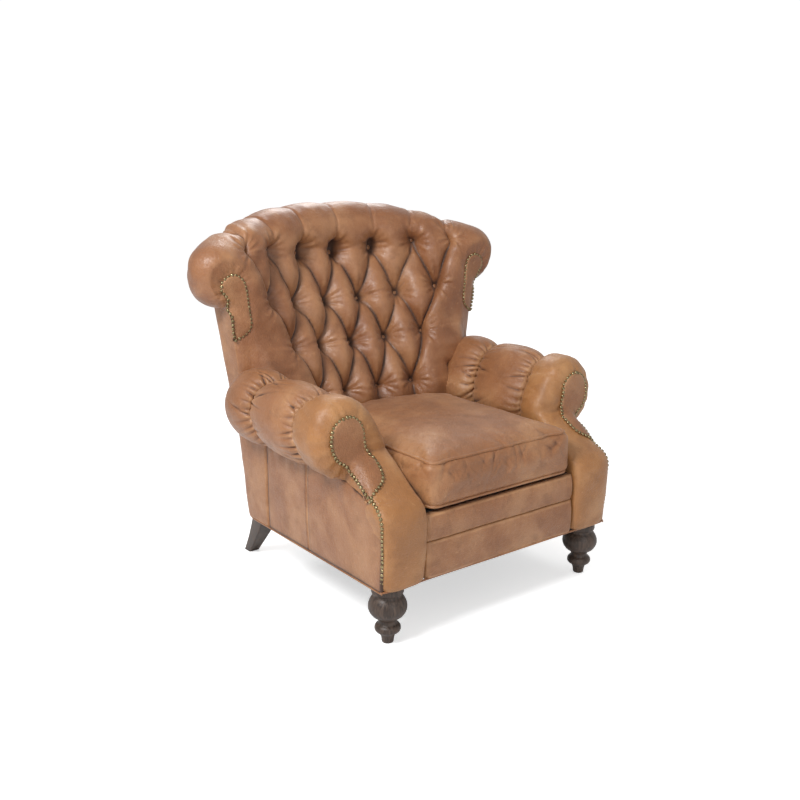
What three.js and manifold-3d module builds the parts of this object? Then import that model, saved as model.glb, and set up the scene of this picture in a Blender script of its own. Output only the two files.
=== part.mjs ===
// Upholstered leather armchair: hardwood frame, sinuous springs, rolled arms, tufted wing back,
// loose seat cushion, turned front legs and raked rear legs.
// Millimetres, +Z up, the chair faces -Y, x = 0 is its middle and z = 0 is the floor.
import * as THREE from 'three';
import { mergeVertices } from 'three/addons/utils/BufferGeometryUtils.js';
import Module from 'manifold-3d';

const wasm = await Module();
wasm.setup();

// ---- driving dimensions ----
const bodyWidth = 800;          // across the front pilasters
const bodyDepth = 700;          // pilaster front to the outside back, at the bottom
const legHeight = 158;          // floor to the underside of the upholstery
const railHeight = 103;         // front panel below the lip
const lipHeight = 73;           // spring-edge lip above the front panel
const cushionThickness = 130;   // seat cushion at its welted edge
const cushionCrown = 36;        // rise of the cushion in its middle
const pilasterWidth = 136;      // padded post at each side of the seat
const pilasterDrop = 57;        // top of a pilaster's straight front, below the arm roll
const armHeight = 625;          // floor to the top of an arm roll
const armRollWidth = 190;       // arm roll, across
const armRollDepth = 210;       // arm roll, top to bottom
const armSetback = 140;         // scroll facing behind the pilaster front
const backHeight = 1047;        // floor to the top of the back roll
const backRollRadius = 82;
const wingFlare = 55;           // centre of a wing scroll outside the body's side
const wingDrop = 97;            // the roll is this much lower at the wings than in the middle
const wingAhead = 44.75;        // centre of a wing scroll ahead of the outside back
const wingFaceAhead = 68;       // wing facing ahead of its scroll's centre
const backRake = 0.28;          // outside back, run per rise, in the middle
const backBow = 0.76;           // share of that rake lost out at the wings
const rollBehindFace = 52;      // roll's middle line behind the inside back's face
const hollowDepth = 13.35;      // inside back beside the seat, ahead of the roll's own curve
const insideSetback = 622;      // inside back behind the pilaster front, at the seat
const padThickness = 60;        // back pad behind its face
const wingLead = 47;            // foot of a wing ahead of the inside back's middle

const coverThickness = 4;       // leather with its thin lining
const boardThickness = 32;      // frame lumber
const seatRailDepth = 140;      // height of the seat rails
const postDepth = 45;           // back post, front to back
const postInset = 14;           // back post inside the frame's side, for the rounded corner
const postAhead = 21;           // front of a back post's top, ahead of the roll's middle line
const cornerRadius = 45;        // rear corners of the outside
const springCount = 4;
const springWire = 4;
const springSwing = 22;         // half width of a spring's loops
const springLoops = 6;
const deckThickness = 11;
const facingThickness = 5;
const nailHead = 9;             // width of a nail trim strip
const nailRise = 3;             // how far it stands out
const gap = 0.4;                // clearance between pieces that touch
const slip = 4;                 // clearance beside the loose cushion

// ---- levels and planes that several pieces share ----
const frameBase = legHeight + 2;
const railTop = frameBase + seatRailDepth;
const lipLevel = legHeight + railHeight;
const seatLevel = lipLevel + lipHeight;
const deckUnder = seatLevel - gap - deckThickness;
const crownLevel = seatLevel + cushionThickness + cushionCrown;
const halfBody = bodyWidth / 2;
const frameSide = halfBody - coverThickness - gap;
const railInside = frameSide - boardThickness;
const pilasterInside = halfBody - pilasterWidth;
const armUnder = armHeight - armRollDepth;
const pilasterTop = armUnder - pilasterDrop;
const armAxisX = halfBody;
const armAxisZ = armHeight - armRollDepth / 2;
const armPostFront = armSetback + facingThickness + 12;
const armPostBack = armPostFront + boardThickness;
const postFront = bodyDepth - 60;
const postOutside = frameSide - postInset;
const postInside = postOutside - boardThickness;
const wingAxisX = halfBody + wingFlare;
const rollAxisZ = backHeight - backRollRadius;
const rollAxisY = bodyDepth + backRake * (rollAxisZ - legHeight) - 66;
const wingRake = backRake * (1 - backBow);
const wingScrollY = bodyDepth + wingRake * (rollAxisZ - wingDrop - legHeight) - wingAhead;
const wingSweep = rollAxisY - wingScrollY;
const wingSetback = wingScrollY - wingFaceAhead;
const wingPadFront = wingSetback + facingThickness + gap;
const insideRake = (rollAxisY - rollBehindFace - insideSetback) / (rollAxisZ - crownLevel);
const insideHollow = wingSweep / wingAxisX ** 2 + hollowDepth / pilasterInside ** 2;
const armPadBack = postFront - gap;
const frontRailFront = 30;
const frontRailBack = frontRailFront + boardThickness;
const pilasterBlockInside = pilasterInside + 22;
const frontLegX = halfBody - 47;
const frontLegY = 47;
const rearLegX = halfBody - 55;
const rearLegTopY = bodyDepth - 36;
const rearLegFootY = bodyDepth + 84;

// ---- colours ----
const leather = { color: 0xb07a4e, roughness: 0.5, metalness: 0 };
const wornLeather = { color: 0xb98246, roughness: 0.45, metalness: 0 };
const paleLeather = { color: 0xc79a70, roughness: 0.45, metalness: 0 };
const hardwood = { color: 0xc8a878, roughness: 0.7, metalness: 0 };
const walnut = { color: 0x3b2a22, roughness: 0.45, metalness: 0 };
const brass = { color: 0x96865a, roughness: 0.35, metalness: 1 };
const steel = { color: 0x8c8c8c, roughness: 0.4, metalness: 1 };
const foam = { color: 0xe6dcb4, roughness: 0.9, metalness: 0 };
const cloth = { color: 0x1c1c1c, roughness: 0.95, metalness: 0 };

const chair = new THREE.Group();
const V = (x, y, z) => new THREE.Vector3(x, y, z);

// ---- helpers ----
function add(name, geometry, look) {
  const mesh = new THREE.Mesh(geometry, new THREE.MeshStandardMaterial(look));
  mesh.name = name;
  chair.add(mesh);
  return mesh;
}

// A piece and its mirror image on the other side of the chair; geometry is for the +X side.
function addPair(name, geometry, look) {
  add(`${name}_right`, geometry, look);
  add(`${name}_left`, mirrored(geometry), look);
}

function mirrored(geometry) {
  const copy = solidOf(geometry);
  const flipped = copy.mirror([1, 0, 0]);
  return meshOf(flipped);
}

function solidOf(geometry) {
  const bare = geometry.clone();
  bare.deleteAttribute('normal');
  bare.deleteAttribute('uv');
  const merged = mergeVertices(bare, 1e-4);
  const vertProperties = new Float32Array(merged.attributes.position.array);
  const triVerts = new Uint32Array(merged.index.array);
  return new wasm.Manifold(new wasm.Mesh({ numProp: 3, vertProperties, triVerts }));
}

function meshOf(solid) {
  const mesh = solid.getMesh();
  const geometry = new THREE.BufferGeometry();
  geometry.setAttribute('position', new THREE.BufferAttribute(mesh.vertProperties, 3));
  geometry.setIndex(new THREE.BufferAttribute(mesh.triVerts, 1));
  geometry.computeVertexNormals();
  return geometry;
}

function cut(geometry, ...cutters) {
  return meshOf(cutters.reduce((body, cutter) => body.subtract(solidOf(cutter)), solidOf(geometry)));
}

function block(x0, x1, y0, y1, z0, z1) {
  const geometry = new THREE.BoxGeometry(x1 - x0, y1 - y0, z1 - z0);
  return geometry.translate((x0 + x1) / 2, (y0 + y1) / 2, (z0 + z1) / 2);
}

// A solid through rings of equally many points; each ring is closed and the ends are capped.
function loft(rings) {
  const count = rings[0].length;
  const points = rings.flat();
  const faces = [];
  for (let r = 0; r + 1 < rings.length; r++) {
    for (let i = 0; i < count; i++) {
      const j = (i + 1) % count;
      const a = r * count + i;
      const b = r * count + j;
      faces.push(a, b, b + count, a, b + count, a + count);
    }
  }
  for (const [r, turn] of [[0, true], [rings.length - 1, false]]) {
    const middle = rings[r].reduce((sum, p) => sum.add(p), V(0, 0, 0)).divideScalar(count);
    points.push(middle);
    const hub = points.length - 1;
    for (let i = 0; i < count; i++) {
      const a = r * count + i;
      const b = r * count + ((i + 1) % count);
      faces.push(hub, turn ? b : a, turn ? a : b);
    }
  }
  if (volume(points, faces) < 0) {
    for (let i = 0; i < faces.length; i += 3) {
      [faces[i], faces[i + 1]] = [faces[i + 1], faces[i]];
    }
  }
  const geometry = new THREE.BufferGeometry();
  geometry.setAttribute('position', new THREE.Float32BufferAttribute(points.flatMap(p => p.toArray()), 3));
  geometry.setIndex(faces);
  geometry.computeVertexNormals();
  return geometry;
}

function volume(points, faces) {
  let sum = 0;
  for (let i = 0; i < faces.length; i += 3) {
    const [a, b, c] = [points[faces[i]], points[faces[i + 1]], points[faces[i + 2]]];
    sum += a.dot(b.clone().cross(c)) / 6;
  }
  return sum;
}

// An outline in the YZ plane, drawn out along X from x0 to x1.
function slabAlongX(outline, x0, x1) {
  const points = outline.map(([y, z]) => new THREE.Vector2(y, z));
  const settings = { depth: x1 - x0, bevelEnabled: false };
  const geometry = new THREE.ExtrudeGeometry(new THREE.Shape(points), settings);
  const turn = new THREE.Matrix4().makeBasis(V(0, 1, 0), V(0, 0, 1), V(1, 0, 0));
  return geometry.applyMatrix4(turn).translate(x0, 0, 0);
}

// An outline in the XZ plane, drawn out along Y from y0 to y1.
function slabAlongY(outline, y0, y1) {
  const points = outline.map(([x, z]) => new THREE.Vector2(x, z));
  const settings = { depth: y1 - y0, bevelEnabled: false };
  const geometry = new THREE.ExtrudeGeometry(new THREE.Shape(points), settings);
  return geometry.rotateX(Math.PI / 2).translate(0, y1, 0);
}

// An outline in the XY plane, drawn up along Z from z0 to z1.
function slabAlongZ(outline, z0, z1) {
  const points = outline.map(([x, y]) => new THREE.Vector2(x, y));
  const settings = { depth: z1 - z0, bevelEnabled: false };
  const geometry = new THREE.ExtrudeGeometry(new THREE.Shape(points), settings);
  return geometry.translate(0, 0, z0);
}

// count + 1 even steps between two values.
function range(count, from, to) {
  return Array.from({ length: count + 1 }, (_, i) => from + (to - from) * i / count);
}

// ---- curved surfaces of the back ----
// Middle line of the rolled top edge, for x between the wing scrolls.
function rollAxis(x) {
  const share = (x / wingAxisX) ** 2;
  return V(x, rollAxisY - wingSweep * share, rollAxisZ - wingDrop * share);
}

// Face of the tufted inside back: hollow across, but never ahead of the wings.
function insideBack(x, z) {
  const rise = Math.max(0, z - crownLevel);
  const hollow = insideSetback + insideRake * rise - insideHollow * x * x;
  const wingFoot = insideSetback - wingLead;
  const wingLine = wingFoot + Math.min(wingPadFront - wingFoot, rise / 3);
  return Math.max(hollow, wingLine);
}

// Outside back: flat at the bottom, bowed with the roll at the top.
function outsideBack(x, z) {
  const bow = backRake * (1 - backBow * (x / wingAxisX) ** 2);
  return bodyDepth + bow * (z - legHeight);
}

// Half of the body's width: it widens above the arms to the wings.
function halfWidth(z) {
  const rise = Math.max(0, z - armUnder) / (rollAxisZ - wingDrop - armUnder);
  return halfBody + (wingAxisX - halfBody) * Math.min(1, rise);
}

// The rolled top edge as a solid, grown by clear, with a domed end past each wing scroll.
function topRoll(clear) {
  const radius = backRollRadius + clear;
  const stations = range(14, -wingAxisX, wingAxisX).map(x => ({ x, past: 0, size: radius }));
  for (const angle of [30, 55, 75]) {
    const turn = THREE.MathUtils.degToRad(angle);
    const past = Math.sin(turn) * radius;
    const size = Math.cos(turn) * radius;
    stations.push({ x: wingAxisX, past, size });
    stations.unshift({ x: -wingAxisX, past: -past, size });
  }
  return loft(stations.map(rollRing));
}

function rollRing({ x, past, size }) {
  const tangent = rollAxis(x + 1).sub(rollAxis(x - 1)).normalize();
  const out = V(0, 0, 1).cross(tangent).normalize();
  const up = tangent.clone().cross(out);
  const centre = rollAxis(x).addScaledVector(tangent, past);
  const place = ([c, s]) => centre.clone().addScaledVector(out, size * c).addScaledVector(up, size * s);
  return circle(18).map(place);
}

function circle(sides) {
  const turns = Array.from({ length: sides }, (_, i) => 2 * Math.PI * i / sides);
  return turns.map(a => [Math.cos(a), Math.sin(a)]);
}

// ---- hardwood frame ----
const backPostTop = rollAxis(postOutside).z - 22 - gap;
const postRake = (rollAxis(postOutside).y - postAhead - postFront) / (backPostTop - frameBase);

function postLine(z) {
  return postFront + postRake * (z - frameBase);
}

function backPost(clear) {
  const low = frameBase - clear;
  const high = backPostTop + clear;
  const outline = [
    [postLine(low) - clear, low],
    [postLine(low) + postDepth + clear, low],
    [postLine(high) + postDepth + clear, high],
    [postLine(high) - clear, high],
  ];
  return slabAlongX(outline, postInside - clear, postOutside + clear);
}

function crestRail(clear) {
  const deep = boardThickness / 2 + clear;
  const tall = 22 + clear;
  const reach = wingAxisX - 20 + clear;
  const corners = [[-deep, -tall], [deep, -tall], [deep, tall], [-deep, tall]];
  return loft(range(16, -reach, reach).map(x => corners.map(([y, z]) => rollAxis(x).add(V(0, y, z)))));
}

const armRailHalf = 20;

function armRail(clear) {
  const half = armRailHalf + clear;
  const [x, z] = [armAxisX, armAxisZ];
  return block(x - half, x + half, armPostFront - clear, armPadBack + clear, z - half, z + half);
}

function armPost(clear) {
  const top = armAxisZ - armRailHalf - gap + clear;
  const [y0, y1] = [armPostFront - clear, armPostBack + clear];
  return block(railInside - 40 - clear, frameSide + clear, y0, y1, frameBase - clear, top);
}

function frontRail(clear) {
  const end = pilasterBlockInside - gap + clear;
  return block(-end, end, frontRailFront - clear, frontRailBack + clear, frameBase - clear, railTop + clear);
}

function pilasterBlock(clear) {
  const [y0, y1] = [20 - clear, armPostFront - gap + clear];
  const [x0, x1] = [pilasterBlockInside - clear, frameSide - 16 + clear];
  return block(x0, x1, y0, y1, frameBase - clear, pilasterTop - 16 + clear);
}

const lowerRailFront = insideSetback + padThickness + 2;
const lowerRailTop = 400;

add('front_rail', frontRail(0), hardwood);
const betweenPosts = postInside - gap;
const rearRailBack = postFront + boardThickness;
add('rear_rail', block(-betweenPosts, betweenPosts, postFront, rearRailBack, frameBase, railTop), hardwood);
const sideRail = block(railInside, frameSide, armPostBack + gap, armPadBack, frameBase, railTop);
addPair('side_rail', sideRail, hardwood);
addPair('pilaster_block', pilasterBlock(0), hardwood);
addPair('arm_post', armPost(0), hardwood);
addPair('arm_rail', armRail(0), hardwood);
addPair('back_post', backPost(0), hardwood);
add('crest_rail', crestRail(0), hardwood);
const lowerRailBack = lowerRailFront + 26;
add('lower_back_rail', block(gap - postInside, postInside - gap, lowerRailFront, lowerRailBack,
  lowerRailTop - 40, lowerRailTop), hardwood);

// Glue block in each rear corner of the seat frame.
function cornerBlock() {
  const side = 70;
  const [x, y] = [railInside - gap, postFront - gap];
  return slabAlongZ([[x, y], [x - side, y], [x, y - side]], frameBase, frameBase + 60);
}
addPair('corner_block', cornerBlock(), hardwood);

// ---- seat suspension ----
function seatSpring(middle) {
  const [front, back] = [frontRailFront + boardThickness / 2, postFront + boardThickness / 2];
  const level = railTop + gap + springWire / 2;
  const points = range(springLoops * 6, 0, 1).map(t => V(
    middle + springSwing * Math.sin(2 * Math.PI * springLoops * t),
    front + (back - front) * t,
    level + 12 * Math.sin(Math.PI * t),
  ));
  const section = new THREE.Shape().absarc(0, 0, springWire / 2, 0, 2 * Math.PI);
  const path = new THREE.CatmullRomCurve3(points);
  return new THREE.ExtrudeGeometry(section, {
    steps: springLoops * 6,
    curveSegments: 3,
    bevelEnabled: false,
    extrudePath: path,
  });
}

const springPitch = 2 * pilasterInside / springCount;
for (let i = 0; i < springCount; i++) {
  const middle = springPitch * (i + 0.5) - pilasterInside;
  add(`seat_spring_${i + 1}`, seatSpring(middle), steel);
}

const lipBack = 26;
const deckSide = pilasterInside - gap;

function backEdge(clear, level) {
  return range(12, deckSide, -deckSide).map(x => [x, insideBack(x, level) - clear]);
}
const deckOutline = [[-deckSide, lipBack + gap], [deckSide, lipBack + gap], ...backEdge(2, seatLevel)];
add('seat_deck', slabAlongZ(deckOutline, deckUnder, seatLevel - gap), cloth);

// ---- inside back and top roll ----
const backPadHalf = halfBody - 28;

const backPad = loft(range(16, -backPadHalf, backPadHalf).map(x => {
  const levels = range(9, deckUnder, rollAxis(x).z - backRollRadius / 2);
  return [
    ...levels.map(z => V(x, insideBack(x, z), z)),
    ...levels.toReversed().map(z => V(x, insideBack(x, z) + padThickness, z)),
  ];
}));

// The arms pass on both sides of the pad's lower part.
const betweenArms = pilasterInside + 3;
const armRoom = block(betweenArms, backPadHalf + 20, armSetback, bodyDepth + 200, frameBase, armHeight + 2);
const armRooms = [armRoom, mirrored(armRoom)];
const rollClear = topRoll(gap);
const posts = [backPost(gap), mirrored(backPost(gap))];
add('tufted_back_pad', cut(backPad, rollClear, ...posts, ...armRooms), leather);

// Elastic webbing behind the pad, straight across between the posts.
const webbingSlack = 8;
const webbingHalf = pilasterInside + 6;
const webbingTop = crownLevel + 0.675 * (rollAxisZ - crownLevel);

function webbingY(z) {
  return insideBack(0, z) + padThickness + webbingSlack;
}
const webbingLevels = [lowerRailTop + gap, crownLevel, webbingTop];
const webbingOutline = [
  ...webbingLevels.map(z => [webbingY(z), z]),
  ...webbingLevels.toReversed().map(z => [webbingY(z) + 2, z]),
];
add('back_webbing', slabAlongX(webbingOutline, -webbingHalf, webbingHalf), cloth);

const aheadOfWings = block(-700, 700, 300, wingPadFront, 500, 1200);
add('top_roll', cut(topRoll(0), crestRail(gap), ...posts, aheadOfWings), leather);

// ---- wings ----
const wingPadInside = backPadHalf + gap;
const wingPadClear = 2;
const wingPad = loft(range(6, armHeight + 3, rollAxisZ - wingDrop).map(z => {
  const side = halfWidth(z) - coverThickness - gap;
  const rear = postLine(z) - wingPadClear;
  return [[wingPadInside, wingPadFront], [side - 10, wingPadFront], [side, wingPadFront + 12],
    [side, rear], [wingPadInside, rear]].map(([x, y]) => V(x, y, z));
}));
addPair('wing_pad', cut(wingPad, rollClear), leather);

// ---- facings and their nail trims ----
// Keyhole outline: a round scroll on a neck that narrows to its foot, in the XZ plane.
function keyhole(x, z, radius, footX, footZ, neckHalf, footHalf) {
  const spread = Math.asin(neckHalf / radius);
  const turns = range(20, -Math.PI / 2 + spread, 1.5 * Math.PI - spread);
  const scroll = turns.map(a => [x + radius * Math.cos(a), z + radius * Math.sin(a)]);
  return [...scroll, [footX - footHalf, footZ], [footX + footHalf, footZ]];
}

const wingScrollZ = rollAxisZ - wingDrop - 18;
const wingFace = [wingAxisX - 8, wingScrollZ, 33, wingAxisX - 18, wingScrollZ - 146, 21, 14];
const armFace = [armAxisX + 5, armAxisZ - 6, 60, armAxisX - 12, armUnder + 34, 36, 30];

function facing(face, front) {
  return slabAlongY(keyhole(...face), front, front + facingThickness);
}

addPair('wing_facing', facing(wingFace, wingSetback), leather);
addPair('arm_facing', facing(armFace, armSetback), leather);

function trim(points) {
  const half = nailRise / 2;
  const section = new THREE.Shape([[-half, -half], [half, -half], [half, half], [-half, half]]
    .map(([u, v]) => new THREE.Vector2(u, v)));
  const extrudePath = new THREE.CatmullRomCurve3(points);
  return new THREE.ExtrudeGeometry(section, { steps: 24, bevelEnabled: false, extrudePath });
}

// Nails inside the edge of a facing, from the foot on its inner side round to the outer foot.
function faceNails(face, front) {
  const [x, z, radius, footX, footZ, neckHalf, footHalf] = face;
  const edge = nailHead / 2 + 1;
  const outline = keyhole(x, z, radius - edge, footX, footZ, neckHalf - edge, footHalf - edge);
  const level = front - nailRise / 2 - gap;
  return [outline.at(-1), ...outline.slice(0, -1)].map(([px, pz]) => V(px, level, pz));
}
addPair('wing_nail_trim', trim(faceNails(wingFace, wingSetback)), brass);

const armNails = faceNails(armFace, armSetback);
const outerNailX = halfBody - coverThickness / 2;
const outerNails = [
  V(outerNailX, 5, pilasterTop - 20),
  V(outerNailX, 5, frameBase + 100),
  V(outerNailX, 5, frameBase + 6),
];
addPair('arm_nail_trim', trim(armNails), brass);
addPair('pilaster_nail_trim', trim(outerNails), brass);

// ---- arms ----
const puffEnds = [0, 165, 390, armPadBack - armSetback - facingThickness - gap];

function armPuff(start, end) {
  const front = armSetback + facingThickness + gap;
  return loft(range(6, 0, 1).map(t => {
    const swell = 0.84 + 0.16 * Math.sqrt(Math.sin(Math.PI * t));
    const y = front + start + (end - start) * t;
    const [across, tall] = [swell * armRollWidth / 2, swell * armRollDepth / 2];
    return circle(18).map(([c, s]) => V(armAxisX + across * c, y, armAxisZ + tall * s));
  }));
}

['front', 'middle', 'rear'].forEach((place, i) => {
  const puff = armPuff(puffEnds[i] + (i ? gap : 0), puffEnds[i + 1]);
  addPair(`arm_puff_${place}`, cut(puff, armRail(gap), armPost(gap)), paleLeather);
});

const innerArmX = pilasterInside + slip;
const innerArm = block(innerArmX, innerArmX + 32, armPostFront, armPadBack, lipLevel, armAxisZ - 20);
addPair('inner_arm_panel', cut(innerArm, armPuff(-gap, puffEnds[1])), leather);

const pilasterOutline = [
  [0, frameBase], [-8, frameBase + 90], [0, pilasterTop], [16, pilasterTop + 22], [60, pilasterTop + 56],
  [110, pilasterTop + 78], [armSetback - gap, pilasterTop + 86], [armSetback - gap, armUnder - 3],
  [armPostFront - gap, armUnder - 3], [armPostFront - gap, frameBase],
];
const pilasterPad = slabAlongX(pilasterOutline, pilasterInside, frameSide);
addPair('pilaster_pad', cut(pilasterPad, pilasterBlock(gap), frontRail(gap)), wornLeather);

// ---- outside panels ----
const sideSeam = bodyDepth - 142;
const outsideArmOutline = [
  [12, frameBase], [sideSeam - gap, frameBase], [sideSeam - gap, armUnder - 1], [armSetback, armUnder - 1],
  [60, pilasterTop + 46], [18, pilasterTop + 14], [12, pilasterTop - 4],
];
addPair('outside_arm_panel', slabAlongX(outsideArmOutline, halfBody - coverThickness, halfBody), leather);

const wingPanelInside = halfBody - 100;

// Front edge of the outside wing: the side seam, then behind the arm, then behind the wing facing.
function wingStart(z) {
  if (z < armUnder - 4) return sideSeam;
  return z < armHeight + 2 ? armPadBack + 2 * gap : wingPadFront;
}

function wingSection(z) {
  const side = halfWidth(z);
  const start = wingStart(z);
  const line = [[side, start, 1, 0]];
  const rear = outsideBack(side - cornerRadius, z);
  for (const turn of range(4, 0, Math.PI / 2)) {
    const [c, s] = [Math.cos(turn), Math.sin(turn)];
    line.push([side - cornerRadius * (1 - c), rear - cornerRadius * (1 - s), c, s]);
  }
  line.push([wingPanelInside, outsideBack(wingPanelInside, z), 0, 1]);
  const outer = line.map(([x, y]) => V(x, y, z));
  const inner = line.map(([x, y, nx, ny]) => V(x - coverThickness * nx, y - coverThickness * ny, z));
  return [...outer, ...inner.reverse()];
}
const flareTop = rollAxisZ - wingDrop;
const wingTop = flareTop + 42;
const armLevels = [armUnder - 5, armUnder - 3, armAxisZ, armHeight + 1];
const wingLevels = [frameBase, railTop, ...armLevels, ...range(4, armHeight + 2, flareTop), wingTop];
addPair('outside_wing', cut(loft(wingLevels.map(wingSection)), rollClear), leather);

const outsideBackPanel = loft(range(5, frameBase, rollAxisZ).map(z => {
  const across = range(6, gap - wingPanelInside, wingPanelInside - gap);
  return [
    ...across.map(x => V(x, outsideBack(x, z), z)),
    ...across.toReversed().map(x => V(x, outsideBack(x, z) - coverThickness, z)),
  ];
}));
add('outside_back', cut(outsideBackPanel, rollClear), leather);

const [frontFace, frontSide] = [2, pilasterInside - gap];
add('front_panel', block(-frontSide, frontSide, frontFace, lipBack + 2, frameBase, lipLevel - gap), leather);
const lipOutline = [
  [lipBack, lipLevel], [lipBack, seatLevel - gap], [8, seatLevel - gap], [2, seatLevel - 9],
  [0, (lipLevel + seatLevel) / 2], [2, lipLevel + 8], [8, lipLevel],
];
add('lip_band', slabAlongX(lipOutline, -frontSide, frontSide), leather);

// The dust cover leaves room for the four legs.
const dustHem = 8;
const dustHalf = halfBody - dustHem;
const betweenLegs = frontLegX - 53;
const behindFrontLegs = frontLegY + 53;
const aheadOfRearLegs = rearLegTopY - 39;
const dustSide = [
  [betweenLegs, frontRailFront], [betweenLegs, behindFrontLegs], [dustHalf, behindFrontLegs],
  [dustHalf, aheadOfRearLegs], [betweenLegs, aheadOfRearLegs], [betweenLegs, bodyDepth - dustHem],
];
const dustOutline = [...dustSide, ...dustSide.toReversed().map(([x, y]) => [-x, y])];
add('dust_cover', slabAlongZ(dustOutline, legHeight, legHeight + 1.5), cloth);

// ---- legs ----
const turnedProfile = [
  [0, 0], [15, 0], [16, 12], [20, 24], [24, 29], [32, 34], [34, 41], [31, 48], [25, 53], [23.5, 60],
  [26, 67], [38, 75], [47, 86], [50.5, 100], [48, 114], [41, 126], [37, 131], [37, 136], [42, 140],
  [42, frameBase - gap], [0, frameBase - gap],
];
const frontLeg = new THREE.LatheGeometry(turnedProfile.map(([r, z]) => new THREE.Vector2(r, z)), 18);
addPair('front_leg', frontLeg.rotateX(Math.PI / 2).translate(frontLegX, frontLegY, 0), walnut);

function square(x, y, z, half) {
  return [[-1, -1], [1, -1], [1, 1], [-1, 1]].map(([u, v]) => V(x + u * half, y + v * half, z));
}
const rearLeg = loft([
  square(rearLegX - 8, rearLegFootY, 0, 17),
  square(rearLegX - 3, (rearLegFootY + rearLegTopY) / 2 - 8, frameBase / 2, 23),
  square(rearLegX, rearLegTopY, frameBase - gap, 31),
]);
addPair('rear_leg', rearLeg, walnut);

// ---- loose seat cushion ----
const cushionHalf = pilasterInside - slip;
const cushionFront = -8;
const cushionBottom = seatLevel + gap;

// The cushion's plan, shrunk by inset, starting at its front left and going round by the right.
function cushionPlan(inset) {
  const half = cushionHalf - inset;
  const corner = 34;
  const front = cushionFront + inset;
  const plan = [];
  for (const [side, turns] of [[-1, [180, 225, 270]], [1, [270, 315, 360]]]) {
    for (const degrees of turns) {
      const turn = THREE.MathUtils.degToRad(degrees);
      plan.push([side * (half - corner) + corner * Math.cos(turn), front + corner + corner * Math.sin(turn)]);
    }
  }
  for (const x of range(10, half, -half)) {
    plan.push([x, insideBack(x, crownLevel) - slip - inset]);
  }
  return plan;
}

function cushionSolid(inset) {
  const low = cushionBottom + inset;
  const high = seatLevel + cushionThickness - inset;
  const middleY = (cushionFront + insideSetback) / 2;
  const shrink = (share, z) => cushionPlan(inset).map(([x, y]) =>
    V(x * share, middleY + (y - middleY) * share, z));
  const crown = [0.8, 0.6, 0.4, 0.2].map(share => shrink(share, high + cushionCrown * (1 - share ** 2)));
  return loft([shrink(0.975, low), shrink(1, low + 14), shrink(1, high - 14), shrink(0.975, high), ...crown]);
}

// The casing is open along its back, where the core goes in.
const casingWall = 3;
const openingHalf = 180;
const openingLevel = seatLevel + cushionThickness / 2;
const openingBack = insideSetback + 20;
const openingFront = openingBack - 80;
const opening = block(-openingHalf, openingHalf, openingFront, openingBack, openingLevel - 12, openingLevel + 12);
add('cushion_casing', cut(cushionSolid(0), cushionSolid(casingWall), opening), leather);
add('cushion_core', cushionSolid(casingWall + gap), foam);

// The origin is on the floor under the middle of the chair's box.
const box = new THREE.Box3().setFromObject(chair);
chair.position.y = -(box.min.y + box.max.y) / 2;

export default chair;
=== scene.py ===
import math

import bmesh
import bpy
import numpy as np
from mathutils import Matrix, Vector
from mathutils.bvhtree import BVHTree


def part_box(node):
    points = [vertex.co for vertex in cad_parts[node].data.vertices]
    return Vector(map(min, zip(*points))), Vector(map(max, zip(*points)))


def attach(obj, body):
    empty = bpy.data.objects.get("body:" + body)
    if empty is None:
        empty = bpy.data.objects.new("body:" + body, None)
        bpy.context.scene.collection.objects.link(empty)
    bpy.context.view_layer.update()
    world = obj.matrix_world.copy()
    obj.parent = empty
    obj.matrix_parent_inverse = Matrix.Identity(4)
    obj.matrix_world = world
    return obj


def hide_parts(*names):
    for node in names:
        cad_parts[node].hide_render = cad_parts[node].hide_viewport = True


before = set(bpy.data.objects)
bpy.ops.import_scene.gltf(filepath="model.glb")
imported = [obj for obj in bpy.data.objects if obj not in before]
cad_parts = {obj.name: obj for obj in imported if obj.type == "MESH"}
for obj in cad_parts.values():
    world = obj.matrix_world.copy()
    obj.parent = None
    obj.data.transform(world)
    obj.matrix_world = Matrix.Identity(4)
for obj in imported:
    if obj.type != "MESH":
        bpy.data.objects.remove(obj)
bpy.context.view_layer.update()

# Metres. "Chair y" is measured from the front of the pilasters; FRONT turns it into the frame's y.
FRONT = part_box("front_panel")[0].y - 0.002
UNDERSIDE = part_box("outside_arm_panel_right")[0].z
LIP_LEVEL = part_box("lip_band")[0].z
SEAT_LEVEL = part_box("cushion_casing")[0].z
BODY_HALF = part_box("outside_arm_panel_right")[1].x
PILASTER_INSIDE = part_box("pilaster_pad_right")[0].x
SCROLL_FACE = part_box("arm_facing_right")[0].y - FRONT
ARM_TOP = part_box("arm_puff_middle_right")[1].z
ARM_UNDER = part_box("arm_puff_middle_right")[0].z
ROLL_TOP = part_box("top_roll")[1].z
BODY_DEPTH = 0.700
WING_X = 0.455
ROLL_RADIUS = 0.082
ROLL_Y = 0.860
ROLL_Z = ROLL_TOP - ROLL_RADIUS
WING_SWEEP = 0.157
WING_DROP = 0.097
DROP_POWER = 2.5
ROW_LEVELS = (0.912, 0.774, 0.648, 0.503)


# ---------------------------------------------------------------- mesh helpers
def new_mesh(name, points, faces):
    mesh = bpy.data.meshes.new(name)
    mesh.from_pydata([tuple(p) for p in points], [], [tuple(f) for f in faces])
    mesh.update()
    obj = bpy.data.objects.new(name, mesh)
    bpy.context.scene.collection.objects.link(obj)
    return obj


def read_out(items, label, width, kind=float):
    flat = np.zeros(len(items) * width, kind)
    items.foreach_get(label, flat)
    return flat.reshape(-1, width)


def coords(obj):
    return read_out(obj.data.vertices, "co", 3)


def set_coords(obj, points):
    obj.data.vertices.foreach_set("co", np.asarray(points, float).ravel())
    obj.data.update()


def normals(obj):
    return read_out(obj.data.vertices, "normal", 3)


def edges(obj):
    return read_out(obj.data.edges, "vertices", 2, int)


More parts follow.
